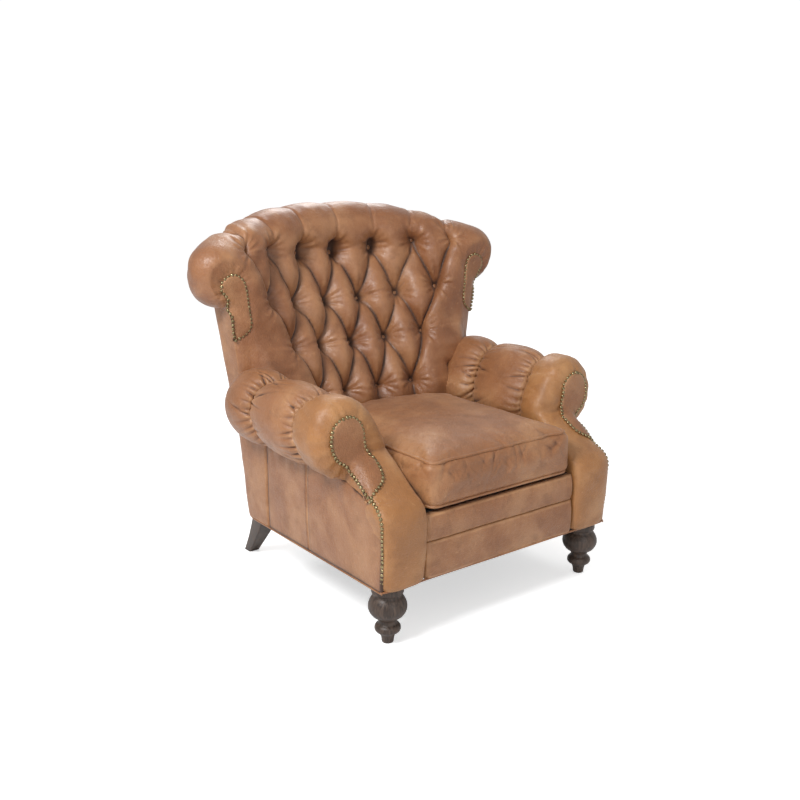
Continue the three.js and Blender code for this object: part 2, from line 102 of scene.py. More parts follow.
def relax(points, pairs, rounds):
    """Laplacian smoothing."""
    count = np.bincount(pairs.ravel(), minlength=len(points)).astype(float)
    count[count == 0] = 1
    for _ in range(rounds):
        total = np.zeros_like(points)
        for axis in range(3):
            total[:, axis] = np.bincount(pairs[:, 0], points[pairs[:, 1], axis], len(points))
            total[:, axis] += np.bincount(pairs[:, 1], points[pairs[:, 0], axis], len(points))
        points = points + 0.5 * (total / count[:, None] - points)
    return points


def recalc(obj):
    work = bmesh.new()
    work.from_mesh(obj.data)
    bmesh.ops.remove_doubles(work, verts=work.verts, dist=1e-6)
    bmesh.ops.recalc_face_normals(work, faces=work.faces)
    work.to_mesh(obj.data)
    work.free()


def loft(name, rings):
    """A closed solid through rings of equally many points, capped at both ends."""
    rings = np.asarray(rings, float)
    count = rings.shape[1]
    points = [p for ring in rings for p in ring]
    faces = []
    for r in range(len(rings) - 1):
        for i in range(count):
            j = (i + 1) % count
            faces.append((r * count + i, r * count + j, (r + 1) * count + j, (r + 1) * count + i))
    for r in (0, len(rings) - 1):
        hub = len(points)
        points.append(rings[r].mean(0))
        for i in range(count):
            faces.append((hub, r * count + i, r * count + (i + 1) % count))
    obj = new_mesh(name, points, faces)
    recalc(obj)
    return obj


def bake(obj):
    """Applies the object's modifiers."""
    graph = bpy.context.evaluated_depsgraph_get()
    mesh = bpy.data.meshes.new_from_object(obj.evaluated_get(graph))
    obj.modifiers.clear()
    old = obj.data
    obj.data = mesh
    bpy.data.meshes.remove(old)
    return obj


def pooled(objects):
    """All the points and faces of some pieces."""
    points, faces = [], []
    for obj in objects:
        base = len(points)
        points += [v.co.copy() for v in obj.data.vertices]
        faces += [[base + i for i in p.vertices] for p in obj.data.polygons]
    return points, faces


def fuse(name, parts, voxel, smooth):
    """One closed skin round several solids, with its inside corners rounded."""
    points, faces = pooled(parts)
    for part in parts:
        bpy.data.objects.remove(part)
    obj = new_mesh(name, points, faces)
    mod = obj.modifiers.new("remesh", "REMESH")
    mod.mode = "VOXEL"
    mod.voxel_size = voxel
    bake(obj)
    set_coords(obj, relax(coords(obj), edges(obj), smooth))
    return obj


def smooth_shade(obj):
    obj.data.polygons.foreach_set("use_smooth", [True] * len(obj.data.polygons))
    obj.data.update()


# ---------------------------------------------------------------- wrinkles and wear
def smoothstep(x, low, high):
    t = np.clip((x - low) / (high - low), 0, 1)
    return t * t * (3 - 2 * t)


def fuzz(points, size, seed):
    """Smooth random values from -1 to 1 with features of that size."""
    table = np.random.default_rng(seed).uniform(-1, 1, 4096)
    place = np.asarray(points) / size
    cell = np.floor(place).astype(np.int64)
    t = place - cell
    t = t * t * (3 - 2 * t)
    total = np.zeros(len(place))
    for corner in range(8):
        step = np.array([corner & 1, corner >> 1 & 1, corner >> 2 & 1])
        key = (cell + step) * np.array([73856093, 19349663, 83492791])
        value = table[(key[:, 0] ^ key[:, 1] ^ key[:, 2]) & 4095]
        weight = np.where(step, t, 1 - t).prod(1)
        total += value * weight
    return total


def gathers(angle, away, count, seed, reach=0.05, depth=0.004):
    """Pinched folds that run away from a seam; angle is the place along it, in radians."""
    rng = np.random.default_rng(seed)
    out = np.zeros(np.shape(angle))
    for i in range(count):
        middle = 2 * math.pi * (i + rng.uniform(-0.35, 0.35)) / count
        width = math.pi / count * rng.uniform(0.30, 0.62)
        length = reach * rng.uniform(0.45, 1.4)
        deep = depth * rng.uniform(0.45, 1.25)
        lean = rng.uniform(-4, 4)
        turn = (angle - middle - lean * away + math.pi) % (2 * math.pi) - math.pi
        out -= deep * np.exp(-((turn / width) ** 2)) * np.exp(-((np.abs(away) / length) ** 1.3))
    return out


def mark_relief(obj, rounds=14, gain=0.0022):
    """Stores how far each point stands out of its surroundings: 0 in the creases, 1 on the crests; the hide shader
    paints shade where it is low and rubbed wear where it is high.
    """
    points = coords(obj)
    out = ((points - relax(points, edges(obj), rounds)) * normals(obj)).sum(1)
    relief = np.clip(0.5 + 0.5 * out / gain, 0, 1)
    layer = obj.data.attributes.new("relief", "FLOAT", "POINT")
    layer.data.foreach_set("value", relief)


# ---------------------------------------------------------------- shader groups
def new_group(name, inputs, outputs):
    tree = bpy.data.node_groups.new(name, "ShaderNodeTree")
    for label, kind, value in inputs:
        socket = tree.interface.new_socket(label, in_out="INPUT", socket_type=kind)
        if value is not None:
            socket.default_value = value
    for label, kind in outputs:
        tree.interface.new_socket(label, in_out="OUTPUT", socket_type=kind)
    return tree, tree.nodes.new("NodeGroupInput"), tree.nodes.new("NodeGroupOutput")


def put(tree, source, socket):
    """Sets a socket from another socket or from a plain value."""
    if isinstance(source, bpy.types.NodeSocket):
        tree.links.new(source, socket)
    else:
        socket.default_value = source


def noise(tree, place, scale, detail=4.0, rough=0.55, warp=0.0):
    node = tree.nodes.new("ShaderNodeTexNoise")
    tree.links.new(place, node.inputs["Vector"])
    node.inputs["Scale"].default_value = scale
    node.inputs["Detail"].default_value = detail
    node.inputs["Roughness"].default_value = rough
    node.inputs["Distortion"].default_value = warp
    return node.outputs["Fac"]


def voronoi(tree, place, scale, feature="F1"):
    node = tree.nodes.new("ShaderNodeTexVoronoi")
    node.feature = feature
    tree.links.new(place, node.inputs["Vector"])
    node.inputs["Scale"].default_value = scale
    return node.outputs["Distance"]


def remap(tree, value, low, high, out_low=0.0, out_high=1.0):
    node = tree.nodes.new("ShaderNodeMapRange")
    node.interpolation_type = "SMOOTHSTEP"
    put(tree, value, node.inputs["Value"])
    for label, number in (("From Min", low), ("From Max", high), ("To Min", out_low), ("To Max", out_high)):
        node.inputs[label].default_value = number
    return node.outputs["Result"]


def math_node(tree, kind, a, b=0.0):
    node = tree.nodes.new("ShaderNodeMath")
    node.operation = kind
    put(tree, a, node.inputs[0])
    put(tree, b, node.inputs[1])
    return node.outputs[0]


def mix(tree, share, a, b, kind="MIX"):
    node = tree.nodes.new("ShaderNodeMix")
    node.data_type = "RGBA"
    node.blend_type = kind
    put(tree, share, node.inputs["Factor"])
    put(tree, a, node.inputs["A"])
    put(tree, b, node.inputs["B"])
    return node.outputs["Result"]


def make_hide_group():
    """Distressed pull-up leather: cloudy tan, pale where it is rubbed, painted shade in its creases and hollows,
    with grain.
    """
    colour = "NodeSocketColor"
    tree, given, result = new_group("hide_wear_and_painted_shade", [
        ("Place", "NodeSocketVector", None),
        ("Relief", "NodeSocketFloat", 0.5),
        ("Base", colour, (0.4, 0.2, 0.09, 1)),
        ("Rubbed", colour, (0.6, 0.38, 0.22, 1)),
        # Dark tone: used for the random darker patches, and as painted shade in hollows and creases.
        ("Dark_and_shade", colour, (0.09, 0.03, 0.012, 1)),
        ("Grain", "NodeSocketFloat", 1.0),
    ], [("Color", colour), ("Roughness", "NodeSocketFloat"), ("Height", "NodeSocketFloat")])
    place = given.outputs["Place"]
    relief = given.outputs["Relief"]
    clouds = noise(tree, place, 5.5, 5, 0.6, 0.4)
    mottle = noise(tree, place, 19, 8, 0.62, 0.3)
    specks = noise(tree, place, 130, 4, 0.6)
    scuffs = noise(tree, place, 70, 9, 0.72, 0.7)
    tone = mix(tree, remap(tree, clouds, 0.40, 0.68, 0, 0.42), given.outputs["Base"], given.outputs["Rubbed"])
    deeper = mix(tree, 0.45, given.outputs["Base"], given.outputs["Dark_and_shade"])
    tone = mix(tree, remap(tree, clouds, 0.50, 0.28, 0, 0.40), tone, deeper)
    tone = mix(tree, remap(tree, mottle, 0.48, 0.72, 0, 0.42), tone, deeper)
    crest = remap(tree, relief, 0.52, 0.95, 0, 0.75)
    rub = math_node(tree, "MULTIPLY", crest, remap(tree, mottle, 0.25, 0.62, 1, 0.35))
    tone = mix(tree, rub, tone, given.outputs["Rubbed"])
    scratch = remap(tree, scuffs, 0.56, 0.74, 0, 0.5)
    tone = mix(tree, scratch, tone, given.outputs["Rubbed"])
    tone = mix(tree, remap(tree, specks, 0.5, 0.8, 0, 0.25), tone, deeper)
    # Painted shade: where the relief is low, in hollows and creases, the colour is pulled towards the dark tone.
    hollow = remap(tree, relief, 0.50, 0.08, 0, 0.90)
    tone = mix(tree, hollow, tone, given.outputs["Dark_and_shade"])
    tree.links.new(tone, result.inputs["Color"])
    rough = remap(tree, mottle, 0.3, 0.75, 0.31, 0.52)
    rough = math_node(tree, "ADD", rough, math_node(tree, "MULTIPLY", hollow, 0.2))
    tree.links.new(rough, result.inputs["Roughness"])
    pebble = voronoi(tree, place, 520, "SMOOTH_F1")
    crinkle = voronoi(tree, place, 95, "DISTANCE_TO_EDGE")
    crinkle = remap(tree, crinkle, 0.0, 0.10, -0.55, 0.0)
    height = math_node(tree, "MULTIPLY", pebble, 0.35)
    height = math_node(tree, "ADD", height, math_node(tree, "MULTIPLY", crinkle, 0.5))
    height = math_node(tree, "ADD", height, math_node(tree, "MULTIPLY", scuffs, 0.9))
    height = math_node(tree, "ADD", height, math_node(tree, "MULTIPLY", specks, 0.35))
    height = math_node(tree, "MULTIPLY", height, given.outputs["Grain"])
    tree.links.new(height, result.inputs["Height"])
    return tree


def shader(name):
    material = bpy.data.materials.new(name)
    material.use_nodes = True
    tree = material.node_tree
    return material, tree, tree.nodes["Principled BSDF"]


def object_place(tree):
    return tree.nodes.new("ShaderNodeTexCoord").outputs["Object"]


def bump(tree, body, height, distance, strength=1.0):
    node = tree.nodes.new("ShaderNodeBump")
    node.inputs["Strength"].default_value = strength
    node.inputs["Distance"].default_value = distance
    tree.links.new(height, node.inputs["Height"])
    tree.links.new(node.outputs["Normal"], body.inputs["Normal"])


HIDE = make_hide_group()


def leather(name, base, rubbed, dark_and_shade, grain=1.0, gloss=0.10):
    material, tree, body = shader(name)
    node = tree.nodes.new("ShaderNodeGroup")
    node.node_tree = HIDE
    relief = tree.nodes.new("ShaderNodeAttribute")
    relief.attribute_name = "relief"
    tree.links.new(object_place(tree), node.inputs["Place"])
    tree.links.new(relief.outputs["Fac"], node.inputs["Relief"])
    node.inputs["Base"].default_value = (*base, 1)
    node.inputs["Rubbed"].default_value = (*rubbed, 1)
    node.inputs["Dark_and_shade"].default_value = (*dark_and_shade, 1)
    node.inputs["Grain"].default_value = grain
    tree.links.new(node.outputs["Color"], body.inputs["Base Color"])
    tree.links.new(node.outputs["Roughness"], body.inputs["Roughness"])
    body.inputs["Coat Weight"].default_value = gloss
    body.inputs["Coat Roughness"].default_value = 0.32
    body.inputs["Sheen Weight"].default_value = 0.08
    bump(tree, body, node.outputs["Height"], 0.0013)
    return material


def wood(name, light, dark, roughness, stretch=0.09):
    material, tree, body = shader(name)
    mapping = tree.nodes.new("ShaderNodeMapping")
    mapping.inputs["Scale"].default_value = (1, 1, stretch)
    tree.links.new(object_place(tree), mapping.inputs["Vector"])
    place = mapping.outputs["Vector"]
    figure = noise(tree, place, 90, 6, 0.65, 1.2)
    pores = noise(tree, place, 420, 3, 0.6)
    tone = mix(tree, remap(tree, figure, 0.35, 0.68), (*dark, 1), (*light, 1))
    tone = mix(tree, remap(tree, pores, 0.55, 0.75, 0, 0.6), tone, (*[c * 0.4 for c in dark], 1))
    tree.links.new(tone, body.inputs["Base Color"])
    tree.links.new(remap(tree, figure, 0.3, 0.7, roughness - 0.08, roughness + 0.1), body.inputs["Roughness"])
    bump(tree, body, pores, 0.0005, 0.6)
    return material


def metal(name, light, dark, roughness):
    material, tree, body = shader(name)
    place = object_place(tree)
    tarnish = noise(tree, place, 160, 5, 0.7)
    tone = mix(tree, remap(tree, tarnish, 0.35, 0.7), (*dark, 1), (*light, 1))
    tree.links.new(tone, body.inputs["Base Color"])
    tree.links.new(remap(tree, tarnish, 0.3, 0.75, roughness + 0.2, roughness), body.inputs["Roughness"])
    body.inputs["Metallic"].default_value = 1.0
    bump(tree, body, noise(tree, place, 700, 2), 0.0002, 0.5)
    return material


def cloth(name, tone):
    material, tree, body = shader(name)
    place = object_place(tree)
    threads = voronoi(tree, place, 900)
    blotch = noise(tree, place, 14, 4)
    paler = tuple(min(1, c * 1.6 + 0.01) for c in tone)
    shade = mix(tree, remap(tree, blotch, 0.3, 0.7), (*tone, 1), (*paler, 1))
    tree.links.new(shade, body.inputs["Base Color"])
    body.inputs["Roughness"].default_value = 0.9
    bump(tree, body, threads, 0.0006)
    return material


# The third colour of each hide is its dark tone, used for random darker patches and as painted shade in hollows and
# creases.
TAN = leather("tan_hide", (0.285, 0.114, 0.042), (0.55, 0.300, 0.145), (0.034, 0.011, 0.004))
BACK_TAN = leather("tan_hide_back", (0.262, 0.098, 0.034), (0.54, 0.285, 0.135),
                   (0.028, 0.009, 0.004), gloss=0.20)
PALE = leather("tan_hide_ruched", (0.305, 0.124, 0.046), (0.57, 0.320, 0.155), (0.038, 0.012, 0.005))
GOLDEN = leather("tan_hide_golden", (0.355, 0.150, 0.046), (0.57, 0.315, 0.135), (0.055, 0.018, 0.006))
SEAT_TAN = leather("tan_hide_seat", (0.300, 0.120, 0.043), (0.56, 0.305, 0.145),
                   (0.036, 0.012, 0.005), grain=1.1, gloss=0.16)
WALNUT = wood("dark_walnut", (0.095, 0.062, 0.045), (0.030, 0.018, 0.013), 0.42)
MAPLE = wood("frame_maple", (0.62, 0.46, 0.28), (0.46, 0.31, 0.17), 0.65)
BRASS = metal("antique_brass", (0.52, 0.43, 0.24), (0.16, 0.12, 0.06), 0.28)
STEEL = metal("spring_wire", (0.42, 0.42, 0.43), (0.14, 0.14, 0.15), 0.35)
LINING = cloth("black_lining", (0.018, 0.018, 0.018))


# ---------------------------------------------------------------- finishing a piece
def settle(obj, body, material, nodes=()):
    """Moves a piece from chair coordinates into the frame and makes it part of the chair."""
    points = coords(obj)
    points[:, 1] += FRONT
    set_coords(obj, points)
    smooth_shade(obj)
    obj.data.materials.clear()
    obj.data.materials.append(material)
    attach(obj, body)
    if nodes:
        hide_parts(*nodes)
    return obj


def soft_copy(name, node, voxel, smooth):
    """A CAD piece's own shape with rounded edges, in chair coordinates."""
    source = bpy.data.objects.new(name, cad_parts[node].data.copy())
    bpy.context.scene.collection.objects.link(source)
    points = coords(source)
    points[:, 1] -= FRONT
    set_coords(source, points)
    work = bmesh.new()
    work.from_mesh(source.data)
    bmesh.ops.remove_doubles(work, verts=work.verts, dist=1e-5)
    work.to_mesh(source.data)
    work.free()
    source.name = "unfinished"
    return fuse(name, [source], voxel, smooth)


def quilt(name, place, u, v, out, thick, bulge):
    """A closed leather panel on place(u, v); out is roughly its outward direction."""
    across, along = np.meshgrid(u, v, indexing="ij")
    base = place(across, along)
    normal = np.cross(np.gradient(base, axis=0), np.gradient(base, axis=1))
    normal /= np.linalg.norm(normal, axis=2, keepdims=True) + 1e-12
    normal *= np.sign((normal * np.asarray(out)).sum(2, keepdims=True) + 1e-9)
    outer = base + normal * bulge(across, along)[..., None]
    inner = base - normal * thick
    rows, columns = across.shape
    points = np.concatenate([outer.reshape(-1, 3), inner.reshape(-1, 3)])
    grid = np.arange(rows * columns).reshape(rows, columns)
    back = grid + rows * columns
    faces = []
    for sheet, turn in ((grid, 1), (back, -1)):
        a, b, c, d = sheet[:-1, :-1], sheet[1:, :-1], sheet[1:, 1:], sheet[:-1, 1:]
        quads = np.stack([a, b, c, d], -1).reshape(-1, 4)
        faces += quads[:, ::turn].tolist()
    ends = ((grid[0], back[0]), (grid[-1], back[-1]))
    for line, under in (*ends, (grid[:, 0], back[:, 0]), (grid[:, -1], back[:, -1])):
        faces += np.stack([line[:-1], line[1:], under[1:], under[:-1]], -1).tolist()
    obj = new_mesh(name, points, faces)
    recalc(obj)
    return obj


def tube(name, path, radius, sides=8, closed=False):
    """A welt along a path."""
    path = np.asarray(path, float)
    if closed:
        tangent = np.roll(path, -1, 0) - np.roll(path, 1, 0)
    else:
        tangent = np.gradient(path, axis=0)
    tangent /= np.linalg.norm(tangent, axis=1, keepdims=True)
    up = np.array([0.0, 0.0, 1.0])
    if abs(tangent[:, 2]).max() > 0.9:
        up = np.array([1.0, 0.0, 0.0])
    side = np.cross(tangent, up)
    side /= np.linalg.norm(side, axis=1, keepdims=True)
    rise = np.cross(side, tangent)
    rings = []
    for i in range(len(path)):
        turns = 2 * math.pi * np.arange(sides) / sides
        circle = np.outer(np.cos(turns), side[i]) + np.outer(np.sin(turns), rise[i])
        rings.append(path[i] + radius * circle)
    if not closed:
        return loft(name, rings)
    points = np.concatenate(rings)
    faces = []
    for r in range(len(rings)):
        s = (r + 1) % len(rings)
        for i in range(sides):
            j = (i + 1) % sides
            faces.append((r * sides + i, r * sides + j, s * sides + j, s * sides + i))
    obj = new_mesh(name, points, faces)
    recalc(obj)
    return obj


def along(points, count):
    """Even steps along a smooth line through some points."""
    points = np.asarray(points, float)
    knots = np.concatenate([[0], np.cumsum(np.linalg.norm(np.diff(points, axis=0), axis=1))])
    fine = np.linspace(0, knots[-1], count)
    line = np.stack([np.interp(fine, knots, points[:, i]) for i in range(3)], 1)
    return even(line, max(2, count // 20))


def even(line, rounds=3):
    """Takes the jitter out of a line of points."""
    line = np.array(line, float)
    for _ in range(rounds):
        line[1:-1] = 0.5 * line[1:-1] + 0.25 * (line[:-2] + line[2:])
    return line


def surface(objects):
    """What a ray can hit."""
    return BVHTree.FromPolygons(*pooled(objects))


def lay_on(tree, points, direction, lift, reach=0.12):
    """Drops points along a direction onto a surface, then lifts them off it."""
    direction = Vector(direction).normalized()
    out = []
    normals_hit = []
    for p in points:
        start = Vector(p) - direction * reach
        hit, normal, _, _ = tree.ray_cast(start, direction, 2.5 * reach)
        if hit is None:
            hit, normal, _, _ = tree.find_nearest(Vector(p))
        if normal.dot(direction) > 0:
            normal = -normal
        out.append(hit + normal * lift)
        normals_hit.append(normal)
    return np.array(out), np.array(normals_hit)


# ---------------------------------------------------------------- outline of the back
def roll_axis(x):
    x = np.asarray(x, float)
    share = np.abs(x / WING_X)
    return np.stack([x, ROLL_Y - WING_SWEEP * share**2, ROLL_Z - WING_DROP * share**DROP_POWER], -1)


def roll_fullness(x):
    """How much taller the roll's upper half is than its lower half, towards the wings."""
    return 1 + 0.14 * np.clip(np.abs(x) / WING_X, 0, 1) ** 4


def inside_back(x, z):
    rise = np.maximum(0, z - 0.500)
    hollow = 0.622 + 0.40 * rise - 0.95 * x * x
    return np.maximum(hollow, 0.575 + np.minimum(0.065, rise / 3))


def outside_back(x, z):
    return BODY_DEPTH + 0.28 * (1 - 0.76 * (x / WING_X) ** 2) * (z - UNDERSIDE)


def half_width(z):
    rise = np.clip((z - 0.415) / (ROLL_Z - WING_DROP - 0.415), 0, 1)
    return BODY_HALF + (WING_X - BODY_HALF) * rise


def nearest_on_roll(points):
    """Where along the roll each point is, as the x of the roll's middle line."""
    x = points[:, 0].copy()
    for _ in range(8):
        base = roll_axis(x)
        steep = np.abs(x / WING_X) ** (DROP_POWER - 1)
        fall = -DROP_POWER * WING_DROP * np.sign(x) * steep / WING_X
        slope = np.stack([np.ones_like(x), -2 * WING_SWEEP * x / WING_X**2, fall], 1)
        x += ((points - base) * slope).sum(1) / (slope**2).sum(1)
        x = np.clip(x, -WING_X - 0.09, WING_X + 0.09)
    return x


def roll_rings(radius, reach, steps, sides):
    stations = [(x, 0.0, radius) for x in np.linspace(-reach, reach, steps)]
    for degrees in range(10, 86, 8):
        turn = math.radians(degrees)
        stations.append((reach, radius * math.sin(turn), radius * math.cos(turn)))
        stations.insert(0, (-reach, -radius * math.sin(turn), radius * math.cos(turn)))
    rings = []
    for x, past, size in stations:
        tangent = roll_axis(x + 0.001) - roll_axis(x - 0.001)
        tangent /= np.linalg.norm(tangent)
        out = np.cross([0, 0, 1.0], tangent)
        out /= np.linalg.norm(out)
        up = np.cross(tangent, out)
        turns = 2 * math.pi * np.arange(sides) / sides
        centre = roll_axis(x) + tangent * past
        rise = np.sin(turns) * np.where(np.sin(turns) > 0, roll_fullness(x), 1)
        rings.append(centre + size * (np.outer(np.cos(turns), out) + np.outer(rise, up)))
    return rings


def back_slab(name, half, low, high, steps=33):
    rings = []
    for x in np.linspace(-half, half, steps):
        top = min(high, float(roll_axis(x)[2]) - 0.02)
        z = np.linspace(low, top, 40)
        face = inside_back(x, z)
        front = np.stack([np.full_like(z, x), face, z], 1)
        rear = np.stack([np.full_like(z, x), face + 0.058, z], 1)
        rings.append(np.concatenate([front, rear[::-1]]))
    return loft(name, rings)


def wing_slab(name, side):
    rings = []
    for z in np.linspace(0.560, 0.875, 16):
        wide = float(half_width(z)) + 0.001
        corners = [(0.36, 0.641), (wide - 0.012, 0.641), (wide, 0.652), (wide, 0.700), (0.36, 0.700)]
        rings.append([(side * x, y, z) for x, y in corners])
    return loft(name, rings)


def wing_filling(name, side):
    """Brings the wing's inside down behind the arm, so that no gap is left above the arm."""
    corners = [(0.270, 0.606), (0.385, 0.606), (0.385, 0.700), (0.270, 0.700)]
    return loft(name, [[(side * x, y, z) for x, y in corners] for z in np.linspace(0.440, 0.655, 8)])


def wing_bolster(name, side):
    """Carries the roll forward to the wing's front, where its scroll is."""
    turns = 2 * math.pi * np.arange(40) / 40
    size = ROLL_RADIUS - 0.002
    rings = []
    for x in np.linspace(0.29, WING_X, 12):
        _, y, z = roll_axis(x)
        y -= smoothstep(x, 0.30, 0.385) * (y - ROLL_RADIUS - 0.643)
        rise = np.sin(turns) * np.where(np.sin(turns) > 0, roll_fullness(x), 1)
        rings.append(np.stack([np.full(40, side * x), y + size * np.cos(turns), z + size * rise], 1))
    return loft(name, rings)


# ---------------------------------------------------------------- deep-buttoned back
COLUMN_X = (0.0, 0.129, 0.258, 0.369, 0.46)
COLUMN_ON_ROLL = (0.0, 0.142, 0.270, 0.369, 0.455)
ROW_CURVE = 0.25
BUTTON_ROWS = (
    (0.912, (0.0, 0.129, 0.258, 0.369)),
    (0.774, (0.062, 0.183, 0.301)),
    (0.648, (0.0, 0.117, 0.236)),
    (0.503, (0.061, 0.170)),
)


WELL_DEPTH = 0.0280
TOP_WELL_DEPTH = 0.0205
TOP_ROW = 0.90


def button_spots():
    spots = []
    for level, columns in BUTTON_ROWS:
        for x in columns:
            for side in (1, -1) if x else (1,):
                spots.append((side * x, level + ROW_CURVE * x * x))
    return spots


def tuft_depth(points):
    """How deep the buttoning pulls the leather in at each point of the back's face."""
    x, z = points[:, 0], points[:, 2]
    level = z - ROW_CURVE * x * x
    levels = ROW_LEVELS[::-1]
    row = np.interp(level, (0.363, *levels, 1.047), (5, 4, 3, 2, 1, 0))
    widen = np.interp(level, levels, (1.13, 1.097, 1.045, 1.0))
    flat = np.sign(x) * np.interp(np.abs(x) * widen, COLUMN_X, (0, 1, 2, 3, 3.8))
    on_roll = nearest_on_roll(points)
    rolled = np.sign(on_roll) * np.interp(np.abs(on_roll), COLUMN_ON_ROLL, (0, 1, 2, 3, 3.75))
    share = smoothstep(1 - row, 0.0, 0.35)
    column = flat + share * (rolled - flat)
    column = column + 0.035 * fuzz(points, 0.06, 5)
    row = row + 0.05 * fuzz(points, 0.07, 6)
    inner = np.clip(row, 1, 4)
    s = column + (inner - 1) / 2
    t = column - (inner - 1) / 2
    fs = (s - np.floor(s)) ** 1.25
    ft = 1 - (1 - t + np.floor(t)) ** 1.25
    pillow = 16 * fs * (1 - fs) * ft * (1 - ft)
    past_s = np.maximum(0, s - 3)
    past_t = np.maximum(0, -3 - t)
    beyond = past_s + past_t
    edge = 1 - np.exp(-((beyond / 0.16) ** 1.2))
    pillow = np.where(beyond > 0, edge, pillow)
    on_top = smoothstep(row, 0.55, 1.0)
    depth = 0.0290 * (1 - np.clip(pillow, 0, 1) ** 0.70) * (0.14 + 0.86 * on_top)
    depth *= np.where(beyond > 0, 0.45 + 0.55 * np.exp(-beyond * 3), 1)
    pleat = np.abs(column - np.round(column)) * 0.129
    depth += 0.0038 * np.exp(-((pleat / 0.0045) ** 2)) * (1 - on_top) * (np.abs(column) < 3.3)
    wells = np.zeros(len(points))
    rays = np.zeros(len(points))
    for i, (bx, bz) in enumerate(button_spots()):
        across, up = x - bx, z - bz
        away = np.hypot(across, up * np.where(up > 0, 0.72, 1.0))
        deep = WELL_DEPTH if bz < TOP_ROW else TOP_WELL_DEPTH
        wells += deep * np.exp(-((away / 0.029) ** 1.6)) + 0.0070 * np.exp(-((away / 0.011) ** 2))
        turn = np.arctan2(up, across)
        ripple = np.cos(13 * turn + 1.7 * i) + 0.7 * np.cos(8 * turn + 2.9 * i)
        rays += ripple * np.exp(-((away - 0.030) ** 2) / 0.015**2)
    fold = np.abs(row - np.round(row)) * 0.132 + 0.004 * fuzz(points, 0.03, 9)
    between = smoothstep(fuzz(points, 0.09, 8), -0.35, 0.25) * (beyond <= 0) * (row > 1.5)
    depth += 0.0034 * between * np.exp(-((fold / 0.0052) ** 2))
    return depth + wells + 0.0020 * rays


def scroll_gathers(points, hub, plane, seed, reach):
    """Folds that fan out from under a facing."""
    turn = np.arctan2(points[:, 2] - hub[2], np.abs(points[:, 0]) - hub[0])
    away = np.hypot(np.abs(points[:, 0]) - hub[0], points[:, 2] - hub[2])
    away = away + np.maximum(0, points[:, 1] - plane)
    return gathers(turn, np.maximum(0, away - 0.034), 17, seed, reach, 0.0030)


def make_back():
    parts = [
        back_slab("lower", 0.283, 0.322, 0.70),
        back_slab("upper", 0.385, 0.560, 0.99),
        wing_slab("wing_a", 1),
        wing_slab("wing_b", -1),
        wing_filling("filling_a", 1),
        wing_filling("filling_b", -1),
        wing_bolster("bolster_a", 1),
        wing_bolster("bolster_b", -1),
        loft("roll", roll_rings(ROLL_RADIUS, WING_X, 61, 48)),
    ]
    back = fuse("tufted_back", parts, 0.0040, 26)
    points = coords(back)
    ledge = 0.571 + np.clip((points[:, 2] - 0.500) / 3, 0, 0.065)
    ledge += (0.6405 - ledge) * smoothstep(np.abs(points[:, 0]), 0.350, 0.400)
    points[:, 1] = np.where(points[:, 2] > 0.500, np.maximum(points[:, 1], ledge), points[:, 1])
    set_coords(back, points)
    normal = normals(back)
    facing = normal @ np.array([0, -0.8, 0.6])
    hubs = []
    for x, z in button_spots():
        away = np.hypot(points[:, 0] - x, points[:, 2] - z) + (facing < 0.3)
        hubs.append(int(np.argmin(away)))
    weight = smoothstep(facing, -0.25, 0.30)
    weight *= smoothstep(points[:, 2], 0.322, 0.36)
    weight *= 1 - smoothstep(np.abs(points[:, 0]), 0.375, 0.43) * (1 - smoothstep(points[:, 2], 0.83, 0.93))
    depth = tuft_depth(points) * weight
    swell = 0.0120 * weight
    creep = 0.0016 * fuzz(points, 0.05, 11) + 0.0009 * fuzz(points, 0.022, 12)
    scroll = scroll_gathers(points, (0.447, 0.640, 0.850), 0.640, 21, 0.045)
    near_scroll = smoothstep(np.abs(points[:, 0]), 0.36, 0.42)
    moved = points + normal * (swell - depth + creep + scroll * near_scroll)[:, None]
    set_coords(back, relax(moved, edges(back), 1))
    # A broad relief, so that the painted shade of the hide darkens the whole button wells.
    mark_relief(back, 40, 0.0078)
    return back, coords(back)[hubs]


# ---------------------------------------------------------------- rolled arms
ARM_X = BODY_HALF
ARM_Z = (ARM_TOP + ARM_UNDER) / 2
ARM_WIDE = 0.095
ARM_TALL = 0.105
SEAM_LEAN = -0.030
SEAMS = (0.150, 0.258, 0.480, 0.645)


def arm_section(turn, scale):
    """The arm roll's outline: round outside, hanging down inside towards the seat."""
    c, s = np.cos(turn), np.sin(turn)
    droop = 0.054 * np.exp(-(((turn - 3.73) / 0.60) ** 2)) * scale
    return ARM_X + (ARM_WIDE * scale + droop) * c, ARM_Z + (ARM_TALL * scale + droop) * s


def seam_line(turn, seam):
    outward = np.clip(np.cos(turn - 0.15), 0, 1)
    return seam - SEAM_LEAN * outward**1.3 + 0.012 * np.sin(turn)


